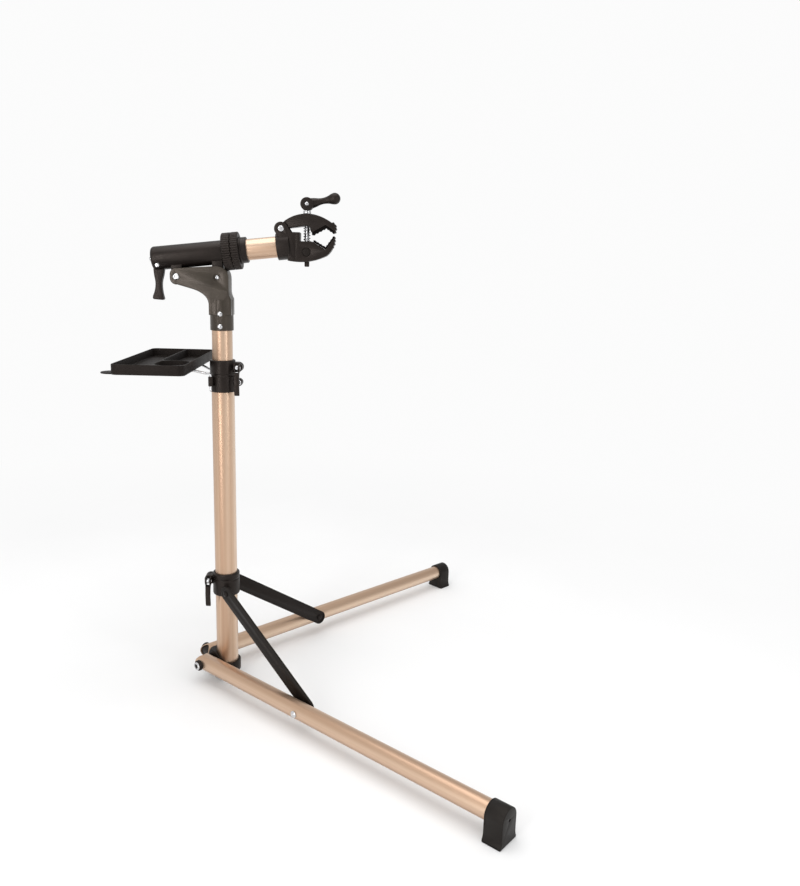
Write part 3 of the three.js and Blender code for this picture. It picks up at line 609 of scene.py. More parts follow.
spacer_face = -LEG["radius"] - 6.5
spacer = lathe([
    (LEG["bolt"] + GAP, spacer_face),
    (10, spacer_face),
    (11, spacer_face + 1),
    (11, -LEG["radius"] - 3.4),
    (10.2, -LEG["radius"] - 2.8),
    (10.2, -LEG["radius"] - 2),
    (11, -LEG["radius"] - 1.4),
    (11, -LEG["radius"] - GAP),
    (LEG["bolt"] + GAP, -LEG["radius"] - GAP),
], 0.4)
settle_pair("leg_spacer", moved(spacer, ALONG_Y), "plastic")


def leg_bolt():
    head = spacer_face - GAP
    body = lathe([
        (0, head - 3),
        (7.2, head - 3),
        (8.6, head - 2),
        (8.6, head),
        (LEG["bolt"], head),
        (LEG["bolt"], plate_back - 0.4),
        (0, plate_back - 0.4),
    ], 0.5)
    return moved(cut(body, rod(5.2, head - 4, head - 0.8, sides=6)), ALONG_Y)


settle_pair("leg_bolt", leg_bolt(), "chrome", bevel=0.15)

socket_floor = spacer_face - GAP - 0.8
socket_plug = cut(
    rod(4.9, socket_floor - 1.4, socket_floor - 0.02, 0.3, sides=6),
    rod(2.6, socket_floor - 3, socket_floor - 0.7, sides=6),
)
settle_pair("leg_bolt_plug", moved(socket_plug, ALONG_Y), "plastic", body="mast")


def foot():
    half = LEG["radius"] + 3.4
    flare = half + 3
    floor = -LEG["height"]
    side = curve((flare, floor + 4), (flare - 2.4, floor + 7), (half, floor + 14), 8)
    shape = (
        [(flare, floor), (flare, floor + 4), *side]
        + arc(0, 0, half, 0, 1, 40)
        + [(-a, b) for a, b in side[::-1]]
        + [(-flare, floor + 4), (-flare, floor)]
    )
    start, end = LEG["length"] - 31, LEG["length"] + 4
    boot = slab(shape, start, end, 1.4, "yz")
    bore = moved(rod(LEG["radius"] + GAP, LEG["length"] - 40, LEG["length"] + GAP), ALONG_X)
    dimple = slab(disc(0, 0, 2.4), end - 1.6, end + 2, 0.5, "yz")
    groove = block(start - 1, end + 1, flare - 0.8, flare + 2, floor + 2.2, floor + 3)
    lip = slab(disc(0, 0, half - 0.5), start + 2.4, start + 3.2, 0, "yz")
    ring = cut(slab(disc(0, 0, half + 9), start + 2.4, start + 3.2, 0, "yz"), lip)
    shallow = common(ring, block(start, end, -half - 9, half + 9, -12, half + 9))
    return cut(boot, bore, dimple, mirrored(groove), groove, shallow)


settle_pair("foot", foot(), "rubber", bevel=0.3)

strut_bolt = turned([
    (0, -LEG["radius"] - 3.6),
    (4, -LEG["radius"] - 3.2),
    (7, -LEG["radius"] - 1.4),
    (7, -LEG["radius"] - GAP),
    (STRUT["pin"], -LEG["radius"] - GAP),
    (STRUT["pin"], LEG["radius"] - 0.2),
    (0, LEG["radius"] - 0.2),
], 0.6, STRUT["along"], 0, ROUND)
settle_pair("strut_bolt", strut_bolt, "chrome")

# ---- Struts ----


def strut():
    ends = (*STRUT_TOP, STRUT["along"], 0)
    bar = slab(link(*ends, STRUT["width"] / 2), STRUT_FACE, STRUT_BACK, 1)
    channel = slab(link(*ends, STRUT["width"] / 2 - 2.2), STRUT_FACE + STRUT["web"], STRUT_BACK + 1)
    holes = [pin(STRUT["pin"] + GAP, 0, 40, *STRUT_TOP), pin(STRUT["pin"] + GAP, 0, 40, *ends[2:])]
    return cut(bar, channel, *holes)


settle_pair("strut", strut(), "steel", bevel=0.25)

strut_rivet = turned([
    (0, STRUT_FACE),
    (STRUT["pin"], STRUT_FACE),
    (STRUT["pin"], STRUT_FACE + 2.7),
    (6.5, STRUT_FACE + 2.7),
    (5.6, STRUT_BACK - 0.7),
    (3.4, STRUT_BACK),
    (0, STRUT_BACK),
], 0.4, STRUT["along"], 0, ROUND)
settle_pair("strut_rivet", strut_rivet, "steel")

ear_face = STRUT_BACK + 0.5
ear_back = ear_face + 6.7
strut_pin = turned([
    (0, STRUT_FACE - 2.3),
    (3.4, STRUT_FACE - 2.3),
    (6.5, STRUT_FACE - 1),
    (6.5, STRUT_FACE - GAP),
    (STRUT["pin"], STRUT_FACE - GAP),
    (STRUT["pin"], ear_back),
    (0, ear_back),
], 0.4, *STRUT_TOP, ROUND)
settle_pair("strut_pin", strut_pin, "steel")

# ---- Quick-release clamps ----


def clamp_lever(length):
    head = moved(rod(8, -6, 6, 0.8), ALONG_X)
    blade = eased([
        (-8, 0),
        (-10, -0.55 * length),
        (-8.6, -length + 5),
        (-5.6, -length),
        (-2.5, -length + 2),
        (-4.5, -0.55 * length),
        (-1.6, -15),
        (5, -6),
    ], 5)
    fork = block(-3.4, 3.4, -12, 12, -9.5, 12)
    bore = moved(rod(CLAMP["pin"] + GAP, -10, 10), ALONG_X)
    return cut(join(head, slab(blade, -5, 5, 1.2, "yz")), fork, bore)


def clamp_bolt():
    eye = moved(rod(5.2, -2.4, 2.4, 0.5), ALONG_X)
    reach = 2 * CLAMP["lug"] + 16.2
    ridges = []
    height = reach - 14
    while height < reach - 1:
        ridges += [(CLAMP["bolt"], height), (CLAMP["bolt"] - 0.4, height + 0.4)]
        height += 0.8
    shank = revolve([(0, 2), (CLAMP["bolt"], 2), *ridges, (2.4, reach), (0, reach)], 48)
    bore = moved(rod(CLAMP["pin"] + GAP, -10, 10), ALONG_X)
    return cut(join(eye, moved(shank, ALONG_Y)), bore)


def knurled_nut(inner, outer, low, high):
    """A round nut along Y with a scalloped rim."""
    rim = []
    for i in range(144):
        angle = math.tau * i / 144
        radius = outer - 0.35 * (1 - abs(math.cos(12 * angle)))
        rim.append((radius * math.cos(angle), radius * math.sin(angle)))
    nut = slab(rim, low, high, 0.7, "xz")
    return cut(nut, pin(inner, low - 1, high + 1))


def settle_clamp(name, x, z, lever):
    """A quick-release clamp: its bolt crosses the collar's lugs at (x, z)."""
    place = (x, CLAMP["pivot"], z)
    settle(f"{name}_lever", shifted(clamp_lever(lever), *place), "plastic")
    lever_pin = moved(rod(CLAMP["pin"], -7, 7, 0.5, 48), ALONG_X)
    settle(f"{name}_lever_pin", shifted(lever_pin, *place), "chrome")
    settle(f"{name}_clamp_bolt", shifted(clamp_bolt(), *place), "chrome")
    nut = knurled_nut(CLAMP["bolt"] + GAP, 7.5, CLAMP["lug"] + GAP, CLAMP["lug"] + 6)
    settle(f"{name}_clamp_nut", shifted(nut, x, 0, z), "plastic")


def clamp_lugs(root, x, z, radius, half=CLAMP["lug"]):
    """The lugs beside a collar's slit, round about the bolt at x."""
    return slab(link(root, z, x, z, radius), -half, half, 1.2)


def clamp_cuts(x0, x1, x, z, z0, z1):
    """The slit through a collar and the hole for its bolt."""
    slit = block(min(x0, x1), max(x0, x1), -CLAMP["slit"], CLAMP["slit"], z0, z1)
    return [slit, pin(CLAMP["bolt"] + GAP, -30, 30, x, z)]


# ---- Fold collar ----


def fold_collar():
    low, high, outer = FOLD_COLLAR["bottom"], FOLD_COLLAR["top"], FOLD_COLLAR["radius"]
    inner = MAST["radius"] + GAP
    band = lathe([
        (inner, low),
        (outer - 1.2, low),
        (outer, low + 2),
        (outer, high - 15),
        (outer - 1, high - 14),
        (outer - 1, high - 11.5),
        (outer, high - 10.5),
        (outer, high - 2),
        (outer - 1.2, high),
        (inner, high),
    ], 0.7)
    shape = link(MAST_ALONG + 8, STRUT_TOP[1], *STRUT_TOP, 10.5)
    ear = moved(slab(shape, ear_face, ear_back - 1, 1), ON_LEG)
    hole = moved(pin(STRUT["pin"] + GAP, 0, 40, *STRUT_TOP), ON_LEG)
    x, z = FOLD_CLAMP["x"], FOLD_CLAMP["z"]
    body = join(band, ear, mirrored(ear), clamp_lugs(-20, x, z, 9.5))
    room = rod(inner, low - 5, high + 5)
    return cut(body, room, mirrored(hole), hole, *clamp_cuts(-18, -45, x, z, low - 1, high + 1))


settle("fold_collar", fold_collar(), "plastic", bevel=0.2)
settle_clamp("fold", **FOLD_CLAMP)

# ---- Mast collar and bush ----


def mast_collar():
    low, step, high = MAST_COLLAR["bottom"], MAST_COLLAR["step"], MAST_COLLAR["top"]
    lower, upper = MAST_COLLAR["lower"], MAST_COLLAR["upper"]
    inner, slide = MAST["radius"] + GAP, UPPER["radius"] + 0.5
    bands = lathe([
        (inner, low),
        (lower - 0.8, low),
        (lower, low + 1),
        (lower, step - 2),
        (upper - 0.8, step - 0.5),
        (upper - 0.8, step + 2.5),
        (upper, step + 4),
        (upper, high - 1),
        (upper - 1, high),
        (slide, high),
        (slide, step + 3.5),
        (inner, step + 3.5),
    ], 0.6)
    x, z = MAST_CLAMP["x"], MAST_CLAMP["z"]
    lugs = clamp_lugs(18, x, z, 9.5)
    lower_lugs = clamp_lugs(18, COLLAR_SCREW["x"], COLLAR_SCREW["z"], 7.5, 8)
    hook_block = slab(
        rounded_box(HOOK["x"] - 4.5, HOOK["x"] + 4.5, -HOOK["y"] - 4.5, -17, 3), 631, step - 1, 1, "xy"
    )
    hole = shifted(rod(HOOK["wire"] + 0.4, 600, 700, sides=48), HOOK["x"], -HOOK["y"], 0)
    body = join(bands, lugs, lower_lugs, mirrored(hook_block), hook_block)
    rooms = [rod(inner, low - 5, step + 3.5), rod(slide, step, high + 5)]
    screw_hole = pin(COLLAR_SCREW["radius"] + GAP, -20, 20, COLLAR_SCREW["x"], COLLAR_SCREW["z"])
    cuts = clamp_cuts(18, 45, x, z, step + 5, high + 1)
    return cut(body, *rooms, mirrored(hole), hole, screw_hole, *cuts)


settle("mast_collar", mast_collar(), "plastic", bevel=0.2)
settle_clamp("mast", **MAST_CLAMP)

collar_screw = lathe([
    (0, -10.7),
    (4.2, -10.7),
    (5.5, -9.7),
    (5.5, -8.3),
    (COLLAR_SCREW["radius"], -8.3),
    (COLLAR_SCREW["radius"], 10),
    (0, 10),
], 0.4, 64)
collar_screw = moved(cut(collar_screw, rod(2.4, -12, -9.4, sides=6)), ALONG_Y)
collar_screw = shifted(collar_screw, COLLAR_SCREW["x"], 0, COLLAR_SCREW["z"])
settle("collar_screw", collar_screw, "chrome", bevel=0.12)

top = MAST["top"]
settle("mast_bush", lathe([
    (UPPER["radius"] + 0.25, top - 30),
    (bore - 0.2, top - 30),
    (bore - 0.2, top + GAP),
    (MAST["radius"], top + GAP),
    (MAST["radius"], top + 2.6),
    (UPPER["radius"] + 0.25, top + 2.6),
], 0.2), "plastic")

# ---- Tool tray ----


def tray_tub():
    near, far, half, wall = TRAY["near"], TRAY["far"], TRAY["half"], TRAY["wall"]
    floor, rim, corner = TRAY["floor"], TRAY["rim"], TRAY["corner"]
    divider = near + 0.45 * (far - near)
    cross = -half + 83
    tub = slab(rounded_box(far, near, -half, half, corner), floor, rim, 0.9, "xy")
    wells = [
        rounded_box(far + wall, divider - wall / 2, -half + wall, half - wall, corner - 3),
        rounded_box(divider + wall / 2, near - wall, cross + wall, half - wall, corner - 3),
        rounded_box(divider + wall / 2, near - wall, -half + wall, cross, 24),
    ]
    rooms = [slab(well, floor + wall, rim + 4, 1.2, "xy") for well in wells]
    tab = slab(link(far - 5, 26 - half, far + 12, 26 - half, 18), floor, floor + wall, 0.8, "xy")
    keep_out = [slab(inset(clean(well), -0.02), floor + wall + 0.02, rim + 4, 0, "xy") for well in wells]
    lip = cut(tab, *keep_out)
    return join(cut(tub, *rooms), lip)


settle("tray_tub", tray_tub(), "tray", bevel=0.35)


def tray_wire():
    under = TRAY["floor"] - GAP - HOOK["wire"]
    run = MAST_COLLAR["step"] + 6
    x, y, reach, far = HOOK["x"], HOOK["y"], 95, TRAY["far"]
    half = [
        (x, -y, HOOK["bottom"]),
        (x, -y, run - 12),
        (x, -y, run - 5),
        (x - 3, -y, run - 1),
        (x - 10, -y - 2, run),
        (-50, -45, under),
        (-62, -60, under),
        (-80, -reach + 6, under),
        (-100, -reach, under),
        (far + 30, -reach, under),
        (far + 20, -reach + 3, under),
        (far + 15, -reach + 14, under),
        (far + 14, -reach + 40, under),
    ]
    knots = half + [(px, -py, pz) for px, py, pz in reversed(half)]
    return sweep(smooth_path(knots, 10), HOOK["wire"])


def smooth_path(knots, steps):
    """A centripetal Catmull-Rom curve through the knots."""
    points = [Vector(p) for p in knots]
    points = [2 * points[0] - points[1], *points, 2 * points[-1] - points[-2]]
    path = [tuple(points[1])]
    for p0, p1, p2, p3 in zip(points, points[1:], points[2:], points[3:]):
        t1 = math.sqrt((p1 - p0).length)
        t2 = t1 + math.sqrt((p2 - p1).length)
        t3 = t2 + math.sqrt((p3 - p2).length)
        for i in range(1, steps + 1):
            t = t1 + (t2 - t1) * i / steps
            a1 = p0.lerp(p1, t / t1)
            a2 = p1.lerp(p2, (t - t1) / (t2 - t1))
            a3 = p2.lerp(p3, (t - t2) / (t3 - t2))
            b1 = a1.lerp(a2, t / t2)
            b2 = a2.lerp(a3, (t - t1) / (t3 - t1))
            path.append(tuple(b1.lerp(b2, (t - t1) / (t2 - t1))))
    return path


settle("tray_wire", tray_wire(), "chrome", smooth=60)

# ---- Sliding mast ----

upper_bore = UPPER["radius"] - UPPER["wall"]
upper_tube = tube(upper_bore, UPPER["radius"], UPPER["bottom"], UPPER["top"], 0.4)
settle("upper_mast_tube", upper_tube, "mast")

foot_height = UPPER["bottom"]
settle("upper_tube_plug", lathe([
    (0, foot_height - 3),
    (bore - 0.5, foot_height - 3),
    (bore - 0.5, foot_height - GAP),
    (upper_bore - GAP, foot_height - GAP),
    (upper_bore - GAP, foot_height + 18),
    (0, foot_height + 18),
], 0.4), "plastic")

for name, height in RIVETS.items():
    face = SLEEVE["radius"] + GAP
    rivet = turned([
        (0, -face - 1.8),
        (RIVET_RADIUS, -face - 1.6),
        (5, -face),
        (RIVET_RADIUS, -face),
        (RIVET_RADIUS, face),
        (5, face),
        (RIVET_RADIUS, face + 1.6),
        (0, face + 1.8),
    ], 0.5, 0, height)
    settle(f"sleeve_rivet_{name}", rivet, "chrome")

# ---- Head bracket ----


def fork_outline(side):
    """The fork's side view, drawn `side` inside its outer faces."""
    bolt = HEAD_BOLTS["left"]
    boss = bolt["boss"] - side
    foot = SLEEVE["bottom"] + 30
    return (
        [(21.5 - side, foot), (21.5 - side, 800)]
        + curve((21.5 - side, 800), (17 - side, 808), (17 - side, 816))
        + [(17 - side, 838)]
        + curve((17 - side, 838), (17 - side, 856), (4 - side, 860))
        + [(-4.5, 862), (bolt["x"], bolt["z"] + bolt["boss"] + 4)]
        + arc(bolt["x"], bolt["z"] + 4, boss, 0.5, 1)
        + arc(bolt["x"], bolt["z"] - 3, boss, 1, 1.55)
        + [(-50, 817 + side)]
        + curve((-50, 817 + side), (-21.5 + side, 808 + side), (-21.5 + side, 788))
        + [(-21.5 + side, foot)]
    )


def head_bracket():
    low, high = SLEEVE["bottom"], SLEEVE["top"]
    half, web = FORK["half"], FORK["half"] - FORK["plate"]
    cheeks = slab(fork_outline(0), -half, half, 1.3)
    neck = common(copied(cheeks), rod(SLEEVE["radius"] + 4, low, 815))
    hollow = slab(fork_outline(FORK["plate"]), -web, web, 2)
    open_top = [block(-100, 13, -web, web, 850, 880), block(-100, -60, -web, web, 829.6, 880)]
    room = common(join(hollow, *open_top), block(-120, 40, -40, 40, high + 3, 900))
    body = join(cut(cheeks, room), neck, rod(SLEEVE["radius"], low, high, 0.8))
    right = HEAD_BOLTS["right"]
    tools = [rod(UPPER["radius"] + GAP, low - 1, UPPER["top"] + GAP)]
    tools.append(pin(7, -40, -half + 2, right["x"], right["z"]))
    tools += [pin(b["shank"] + GAP, -40, 40, b["x"], b["z"]) for b in HEAD_BOLTS.values()]
    tools += [pin(RIVET_RADIUS + GAP, -30, 30, 0, height) for height in RIVETS.values()]
    return cut(body, *tools)


settle("head_bracket", head_bracket(), "bracket", bevel=0.25)

for name, bolt in HEAD_BOLTS.items():
    front = -FORK["half"] + (2 if name == "right" else 0)
    head, shank = bolt["head"], bolt["shank"]
    piece = lathe([
        (0, front - 3.2),
        (head - 1.8, front - 3.1),
        (head, front - 1.4),
        (head, front - GAP),
        (shank, front - GAP),
        (shank, FORK["half"] + GAP),
        (head, FORK["half"] + GAP),
        (head, FORK["half"] + 4),
        (0, FORK["half"] + 4),
    ], 0.5, 64)
    piece = cut(piece, rod(head * 0.45, front - 5, front - 1.8, sides=6))
    piece = shifted(moved(piece, ALONG_Y), bolt["x"], 0, bolt["z"])
    settle(f"head_bolt_{name}", piece, "chrome", bevel=0.12)

# ---- Head barrel and index rings ----


def axis_height(x):
    return ARM["height"] + x * math.tan(ARM_TILT)


def head_barrel():
    start, end = ARM["start"], ARM["end"]
    shell = lathe([
        (0, start),
        (ARM["barrel"] - 3, start),
        (ARM["barrel"], start + 3.5),
        (ARM["barrel"], end),
        (0, end),
    ], 2.4)
    shell = moved(shell, ALONG_ARM)
    inner = FORK["half"] - FORK["plate"] - 1
    lugs = [
        slab(link(b["x"], b["z"], b["x"], axis_height(b["x"]) - 12, 10), -inner, inner, 0.8)
        for b in HEAD_BOLTS.values()
    ]
    heel = block(CAM["x"] - 9, CAM["x"] + 23, -12, 12, 855, 866, 1)
    hollow = moved(rod(17.5, start + 2, end + 1), ALONG_ARM)
    rod_hole = moved(rod(ARM["rod"] + 0.6, start - 5, start + 5), ALONG_ARM)
    slot = CAM["thickness"] / 2 + 0.4
    cam_room = block(-150, CAM["x"] + 11.5, -slot, slot, 840, CAM["z"] + 6)
    tools = [hollow, rod_hole, cam_room]
    tools.append(pin(CAM["pin"] + GAP, -40, 40, CAM["x"], CAM["z"]))
    tools.append(pin(4.7, -40, -18.7, CAM["x"], CAM["z"]))
    tools += [pin(b["shank"] + GAP, -40, 40, b["x"], b["z"]) for b in HEAD_BOLTS.values()]
    return cut(join(shell, *lugs, heel), *tools)


settle("head_barrel", head_barrel(), "plastic", bevel=0.25)


def knurled_ring(inner, low, high, teeth_up):
    """A ring with a scalloped rim and a crown of tapered teeth on one face."""
    count = TEETH["count"] * 16
    wave = [1 - abs((i % 16) / 8 - 1) for i in range(count)]
    rim = []
    for i in range(count):
        angle = math.tau * i / count
        rim.append((ARM["ring"] - 1.1 * (abs(i % 8 - 4) / 4) ** 2, angle))
    lows, highs = [], []
    for i in range(count):
        lift = TEETH["height"] * wave[i]
        lows.append(low + (0 if teeth_up else lift))
        highs.append(high + (lift if teeth_up else 0))
    vertices = []
    for level, shrink, rise in ((lows, 1.2, 0), (lows, 0, 1.2), (highs, 0, -1.2), (highs, 1.2, 0)):
        for i, (radius, angle) in enumerate(rim):
            near = radius - shrink
            vertices.append((near * math.cos(angle), near * math.sin(angle), level[i] + rise))
    for level in (highs, lows):
        for i, (_, angle) in enumerate(rim):
            vertices.append((inner * math.cos(angle), inner * math.sin(angle), level[i]))
    faces = []
    for ring in range(6):
        base, after = ring * count, ((ring + 1) % 6) * count
        for i in range(count):
            j = (i + 1) % count
            faces.append((base + i, base + j, after + j, after + i))
    return solid(vertices, faces)


tooth_face = TEETH["face"]
fixed_ring = knurled_ring(ARM["rod"] + 0.6, ARM["end"] + GAP, tooth_face, True)
settle("fixed_ring", moved(fixed_ring, ALONG_ARM), "plastic", smooth=20)

turn_face = tooth_face + GAP
collar_wall = 24.5


def turning_ring():
    ring = knurled_ring(ARM["rod"] + GAP, turn_face, ARM["ring_end"], False)
    collar = lathe([
        (ARM["rod"] + GAP, ARM["ring_end"] - 3),
        (collar_wall + 1.5, ARM["ring_end"] - 3),
        (collar_wall + 1.5, ARM["ring_end"] + 2.5),
        (collar_wall, ARM["ring_end"] + 3.5),
        (collar_wall, ARM["collar_end"] - 1),
        (collar_wall - 1, ARM["collar_end"]),
        (ARM["rod"] + GAP, ARM["collar_end"]),
    ], 0.8)
    socket = rod(ARM["radius"] + GAP, tooth_face + 7.8, ARM["collar_end"] + 5)
    return moved(cut(join(ring, collar), socket), ALONG_ARM)


settle("turning_ring", turning_ring(), "plastic", smooth=20)

rod_head = tooth_face + TEETH["height"] + GAP + 5.5 + GAP
start = ARM["start"]
settle("draw_rod", moved(lathe([
    (0, start - 6),
    (3, start - 6),
    (ARM["rod"], start - 4),
    (ARM["rod"], start + 2.4),
    (9, start + 2.4),
    (9, start + 3.9),
    (ARM["rod"], start + 3.9),
    (ARM["rod"], rod_head),
    (11, rod_head),
    (11, rod_head + 6),
    (0, rod_head + 6),
], 0.5), ALONG_ARM), "chrome")


def cam_lever():
    length, half = CAM["length"], CAM["thickness"] / 2
    shape = (
        [(-4.8, 3)]
        + arc(0, 0, 4.8, 0.8, 0)
        + [(9.5, -7)]
        + curve((9.5, -7), (9, -16), (5.4, -28))
        + curve((5.4, -28), (2.4, -42), (7, -length + 6))
        + curve((7, -length + 6), (9, -length), (5, -length))
        + [(-11, -length + 1)]
        + curve((-11, -length + 1), (-15, -length + 2), (-12.5, -length + 9))
        + curve((-12.5, -length + 9), (-6, -42), (-8, -28))
        + curve((-8, -28), (-10.5, -16), (-10.5, -6))
        + [(-5.6, -3.2), (-5.6, 2.6)]
    )
    lever = cut(slab(shape, -half, half, 1.6), pin(CAM["pin"] + GAP, -20, 20))
    return shifted(lever, CAM["x"], 0, CAM["z"])


settle("cam_lever", cam_lever(), "plastic")

cam_pin = turned([
    (0, -20.6),
    (3, -20.4),
    (4.2, -19.8),
    (4.2, -19),
    (CAM["pin"], -19),
    (CAM["pin"], 18),
    (0, 18),
], 0.3, CAM["x"], CAM["z"], 48)
settle("cam_lever_pin", cam_pin, "chrome")

# ---- Clamp arm and jaws ----

arm_start = tooth_face + TEETH["height"] + GAP + 5.8
arm_tube = tube(ARM["radius"] - ARM["wall"], ARM["radius"], arm_start, ARM["tip"], 0.4)
settle("arm_tube", moved(arm_tube, ALONG_ARM), "arm")

GRIP = {
    "upper": [(176, 925.5), (202, 940), (218, 929.5)],
    "lower": [(179, 915.5), (202, 902.5), (218, 924.5)],
}
PAD_DEPTH = 3.5


def raised(points, rise):
    return [(x, z + rise) for x, z in points]


def lobed(points, depth):
    """Points along the V with rounded lobes standing out of it."""
    result = [points[0]]
    for (x0, z0), (x1, z1) in zip(points, points[1:]):
        count = round(math.dist((x0, z0), (x1, z1)) / 7)
        for i in range(1, 6 * count + 1):
            lift = math.sin(math.pi * i / 6) ** 2
            t = i / 6 / count
            result.append((x0 + (x1 - x0) * t, z0 + (z1 - z0) * t + depth * lift))
    return result


def pad(points, rise):
    outer = raised(points, rise)[::-1]
    shape = lobed(points, -1.6 if rise > 0 else 1.6) + outer
    return slab(shape, -HINGE["half"] + 1.5, HINGE["half"] - 1.5, 0.35)


def nose_ribs(half, *places):
    """Short ribs across a jaw's nose."""
    return [pin(2.4, -half + 2, half - 2, x, z) for x, z in places]


def lower_jaw():
    x, z, half, lug = HINGE["x"], HINGE["z"], HINGE["half"], HINGE["lug"]
    seat = raised(GRIP["lower"], -PAD_DEPTH - GAP)
    shape = (
        [(130, 876)]
        + curve((130, 876), (168, 869), (204, 887))
        + curve((204, 887), (217, 897), (219, 914))
        + [(219.5, 920), *seat[::-1], (177, 913), (153, 913), (153, 929.5), (130, 929.5)]
    )
    ribs = nose_ribs(half, (218.2, 921.5), (218.6, 916), (217.8, 910), (215.2, 904))
    body = join(slab(shape, -half, half, 1.2), *ribs)
    arms = slab(link(x, z, 138, 905, lug), -half, half, 1.2)
    tongue = half - HINGE["cheek"] + GAP
    tongue_room = slab(link(x, z, x + 60, z + 4, lug + 0.5), -tongue, tongue)
    jaw_room = block(153.3, 240, -30, 30, 925.5, 960)
    socket = moved(rod(25.5, 109, 134, 1.5), ALONG_ARM)
    over_socket = slab(disc(x, z, lug + 0.5), -tongue, tongue)
    step = block(144.6, 145.4, -half - 1, -half + 0.5, 878, 927)
    tools = [
        moved(rod(ARM["radius"] + GAP, 50, ARM["tip"] + GAP), ALONG_ARM),
        cut(tongue_room, block(130, 160, -30, 30, 900, 929.5)),
        jaw_room,
        pin(HINGE["pin"] + GAP, -40, 40, x, z),
        shifted(rod(SCREW["radius"] + 1, 850, 940), SCREW["x"], 0, 0),
        pin(SCREW["nut_radius"] + GAP, -40, 40, SCREW["x"], SCREW["nut"]),
        mirrored(step),
        step,
    ]
    return cut(join(body, cut(join(arms, socket), over_socket)), *tools)


settle("lower_jaw", lower_jaw(), "plastic", bevel=0.25)


def upper_jaw():
    x, z, half, lug = HINGE["x"], HINGE["z"], HINGE["half"], HINGE["lug"]
    seat = raised(GRIP["upper"], PAD_DEPTH + GAP)
    crest = z + HINGE["radius"] - 1
    shape = (
        [(x + 5, z - 9), (131, z + 2), (161, 941.5), (171, 941.5), (174, 931), *seat]
        + [(220.5, 934)]
        + curve((220.5, 934), (223, 944), (212, 950))
        + curve((212, 950), (190, 964.5), (SCREW["x"], 964.5))
        + curve((SCREW["x"], 964.5), (138, 963), (x + 1, crest))
    )
    ribs = nose_ribs(half, (219.4, 932.5), (220.6, 938), (220, 943.4), (216.4, 947.4))
    arch = join(slab(shape, -half + 1, half - 1, 1.6), *ribs)
    knuckle = pin(HINGE["radius"], -half + 1, half - 1, x, z)
    cheeks = pin(lug + 2.5, -30, 30, x, z)
    tongue = block(x - 40, x + 40, -half + HINGE["cheek"], half - HINGE["cheek"], z - 40, z + 40)
    slot = slab(link(SCREW["x"] - 1, 0, SCREW["x"] + 8, 0, SCREW["radius"] + 1.2), 900, 990, 0, "xy")
    bore = pin(HINGE["pin"] + GAP, -40, 40, x, z)
    return cut(join(arch, knuckle), cut(cheeks, tongue), slot, bore)


settle("upper_jaw", upper_jaw(), "plastic", bevel=0.25)
settle("upper_pad", pad(GRIP["upper"], PAD_DEPTH), "pad")
settle("lower_pad", pad(GRIP["lower"], -PAD_DEPTH), "pad")

half = HINGE["half"]
hinge_pin = turned([
    (0, -half - 2.4),
    (4.4, -half - 2.2),
    (6.2, -half - GAP),
    (HINGE["pin"], -half - GAP),
    (HINGE["pin"], half + GAP),
    (6.2, half + GAP),
    (4.4, half + 2.2),
    (0, half + 2.4),
], 0.6, HINGE["x"], HINGE["z"])
settle("hinge_pin", hinge_pin, "chrome")

# ---- Clamp screw ----


def jaw_screw():
    radius, shoulder, eye = (SCREW[key] for key in ("radius", "shoulder", "eye"))
    low = SCREW["bottom"] + SCREW["cap"]
    thread = []
    height = low + 1.5
    while height < shoulder - 12:
        thread += [(radius - 0.6, height), (radius, height + 0.5)]
        thread += [(radius, height + 0.9), (radius - 0.6, height + 1.4)]
        height += 1.8
    shaft = revolve([
        (0, low),
        (radius - 1.2, low),
        *thread,
        (radius, shoulder - 10),
        (radius, shoulder),
        (7.4, shoulder),
        (7.4, shoulder + 1.6),
        (4.7, shoulder + 1.6),
        (4.7, eye - 3.6),
        (0, eye - 3.6),
    ], 64)
    head = cut(pin(7, -4.8, 4.8, 0, eye, 0.6, 64), pin(CRANK["pin"] + GAP, -20, 20, 0, eye))
    return shifted(join(shaft, head), SCREW["x"], 0, 0)


settle("jaw_screw", jaw_screw(), "chrome")

low = SCREW["bottom"]
end_cap = lathe([
    (0, low),
    (3.6, low),
    (4.7, low + 1.2),
    (4.7, low + SCREW["cap"]),
    (0, low + SCREW["cap"]),
], 0.4, 64)
end_cap = shifted(end_cap, SCREW["x"], 0, 0)
settle("screw_end_cap", end_cap, "plastic", body="screw")

washer = tube(SCREW["radius"] + GAP, 7.6, 965.2, SCREW["shoulder"] - GAP, 0.4, 64)
settle("thrust_washer", shifted(washer, SCREW["x"], 0, 0), "chrome")

barrel_nut = pin(SCREW["nut_radius"], -half + 1, half - 1, 0, SCREW["nut"], 0.8, 64)
barrel_nut = cut(barrel_nut, rod(SCREW["radius"] + GAP, 850, 940))
settle("screw_nut", shifted(barrel_nut, SCREW["x"], 0, 0), "steel")


def jaw_spring():
    turns, low, high, coil = 5, 914.3, 940.2, 6.3
    path = []
    for i in range(turns * 32 + 1):
        angle = math.tau * i / 32
        height = low + (high - low) * i / (turns * 32)
        path.append((SCREW["x"] + coil * math.cos(angle), coil * math.sin(angle), height))
    return sweep(path, 0.7, 12)


settle("jaw_spring", jaw_spring(), "chrome", smooth=60)


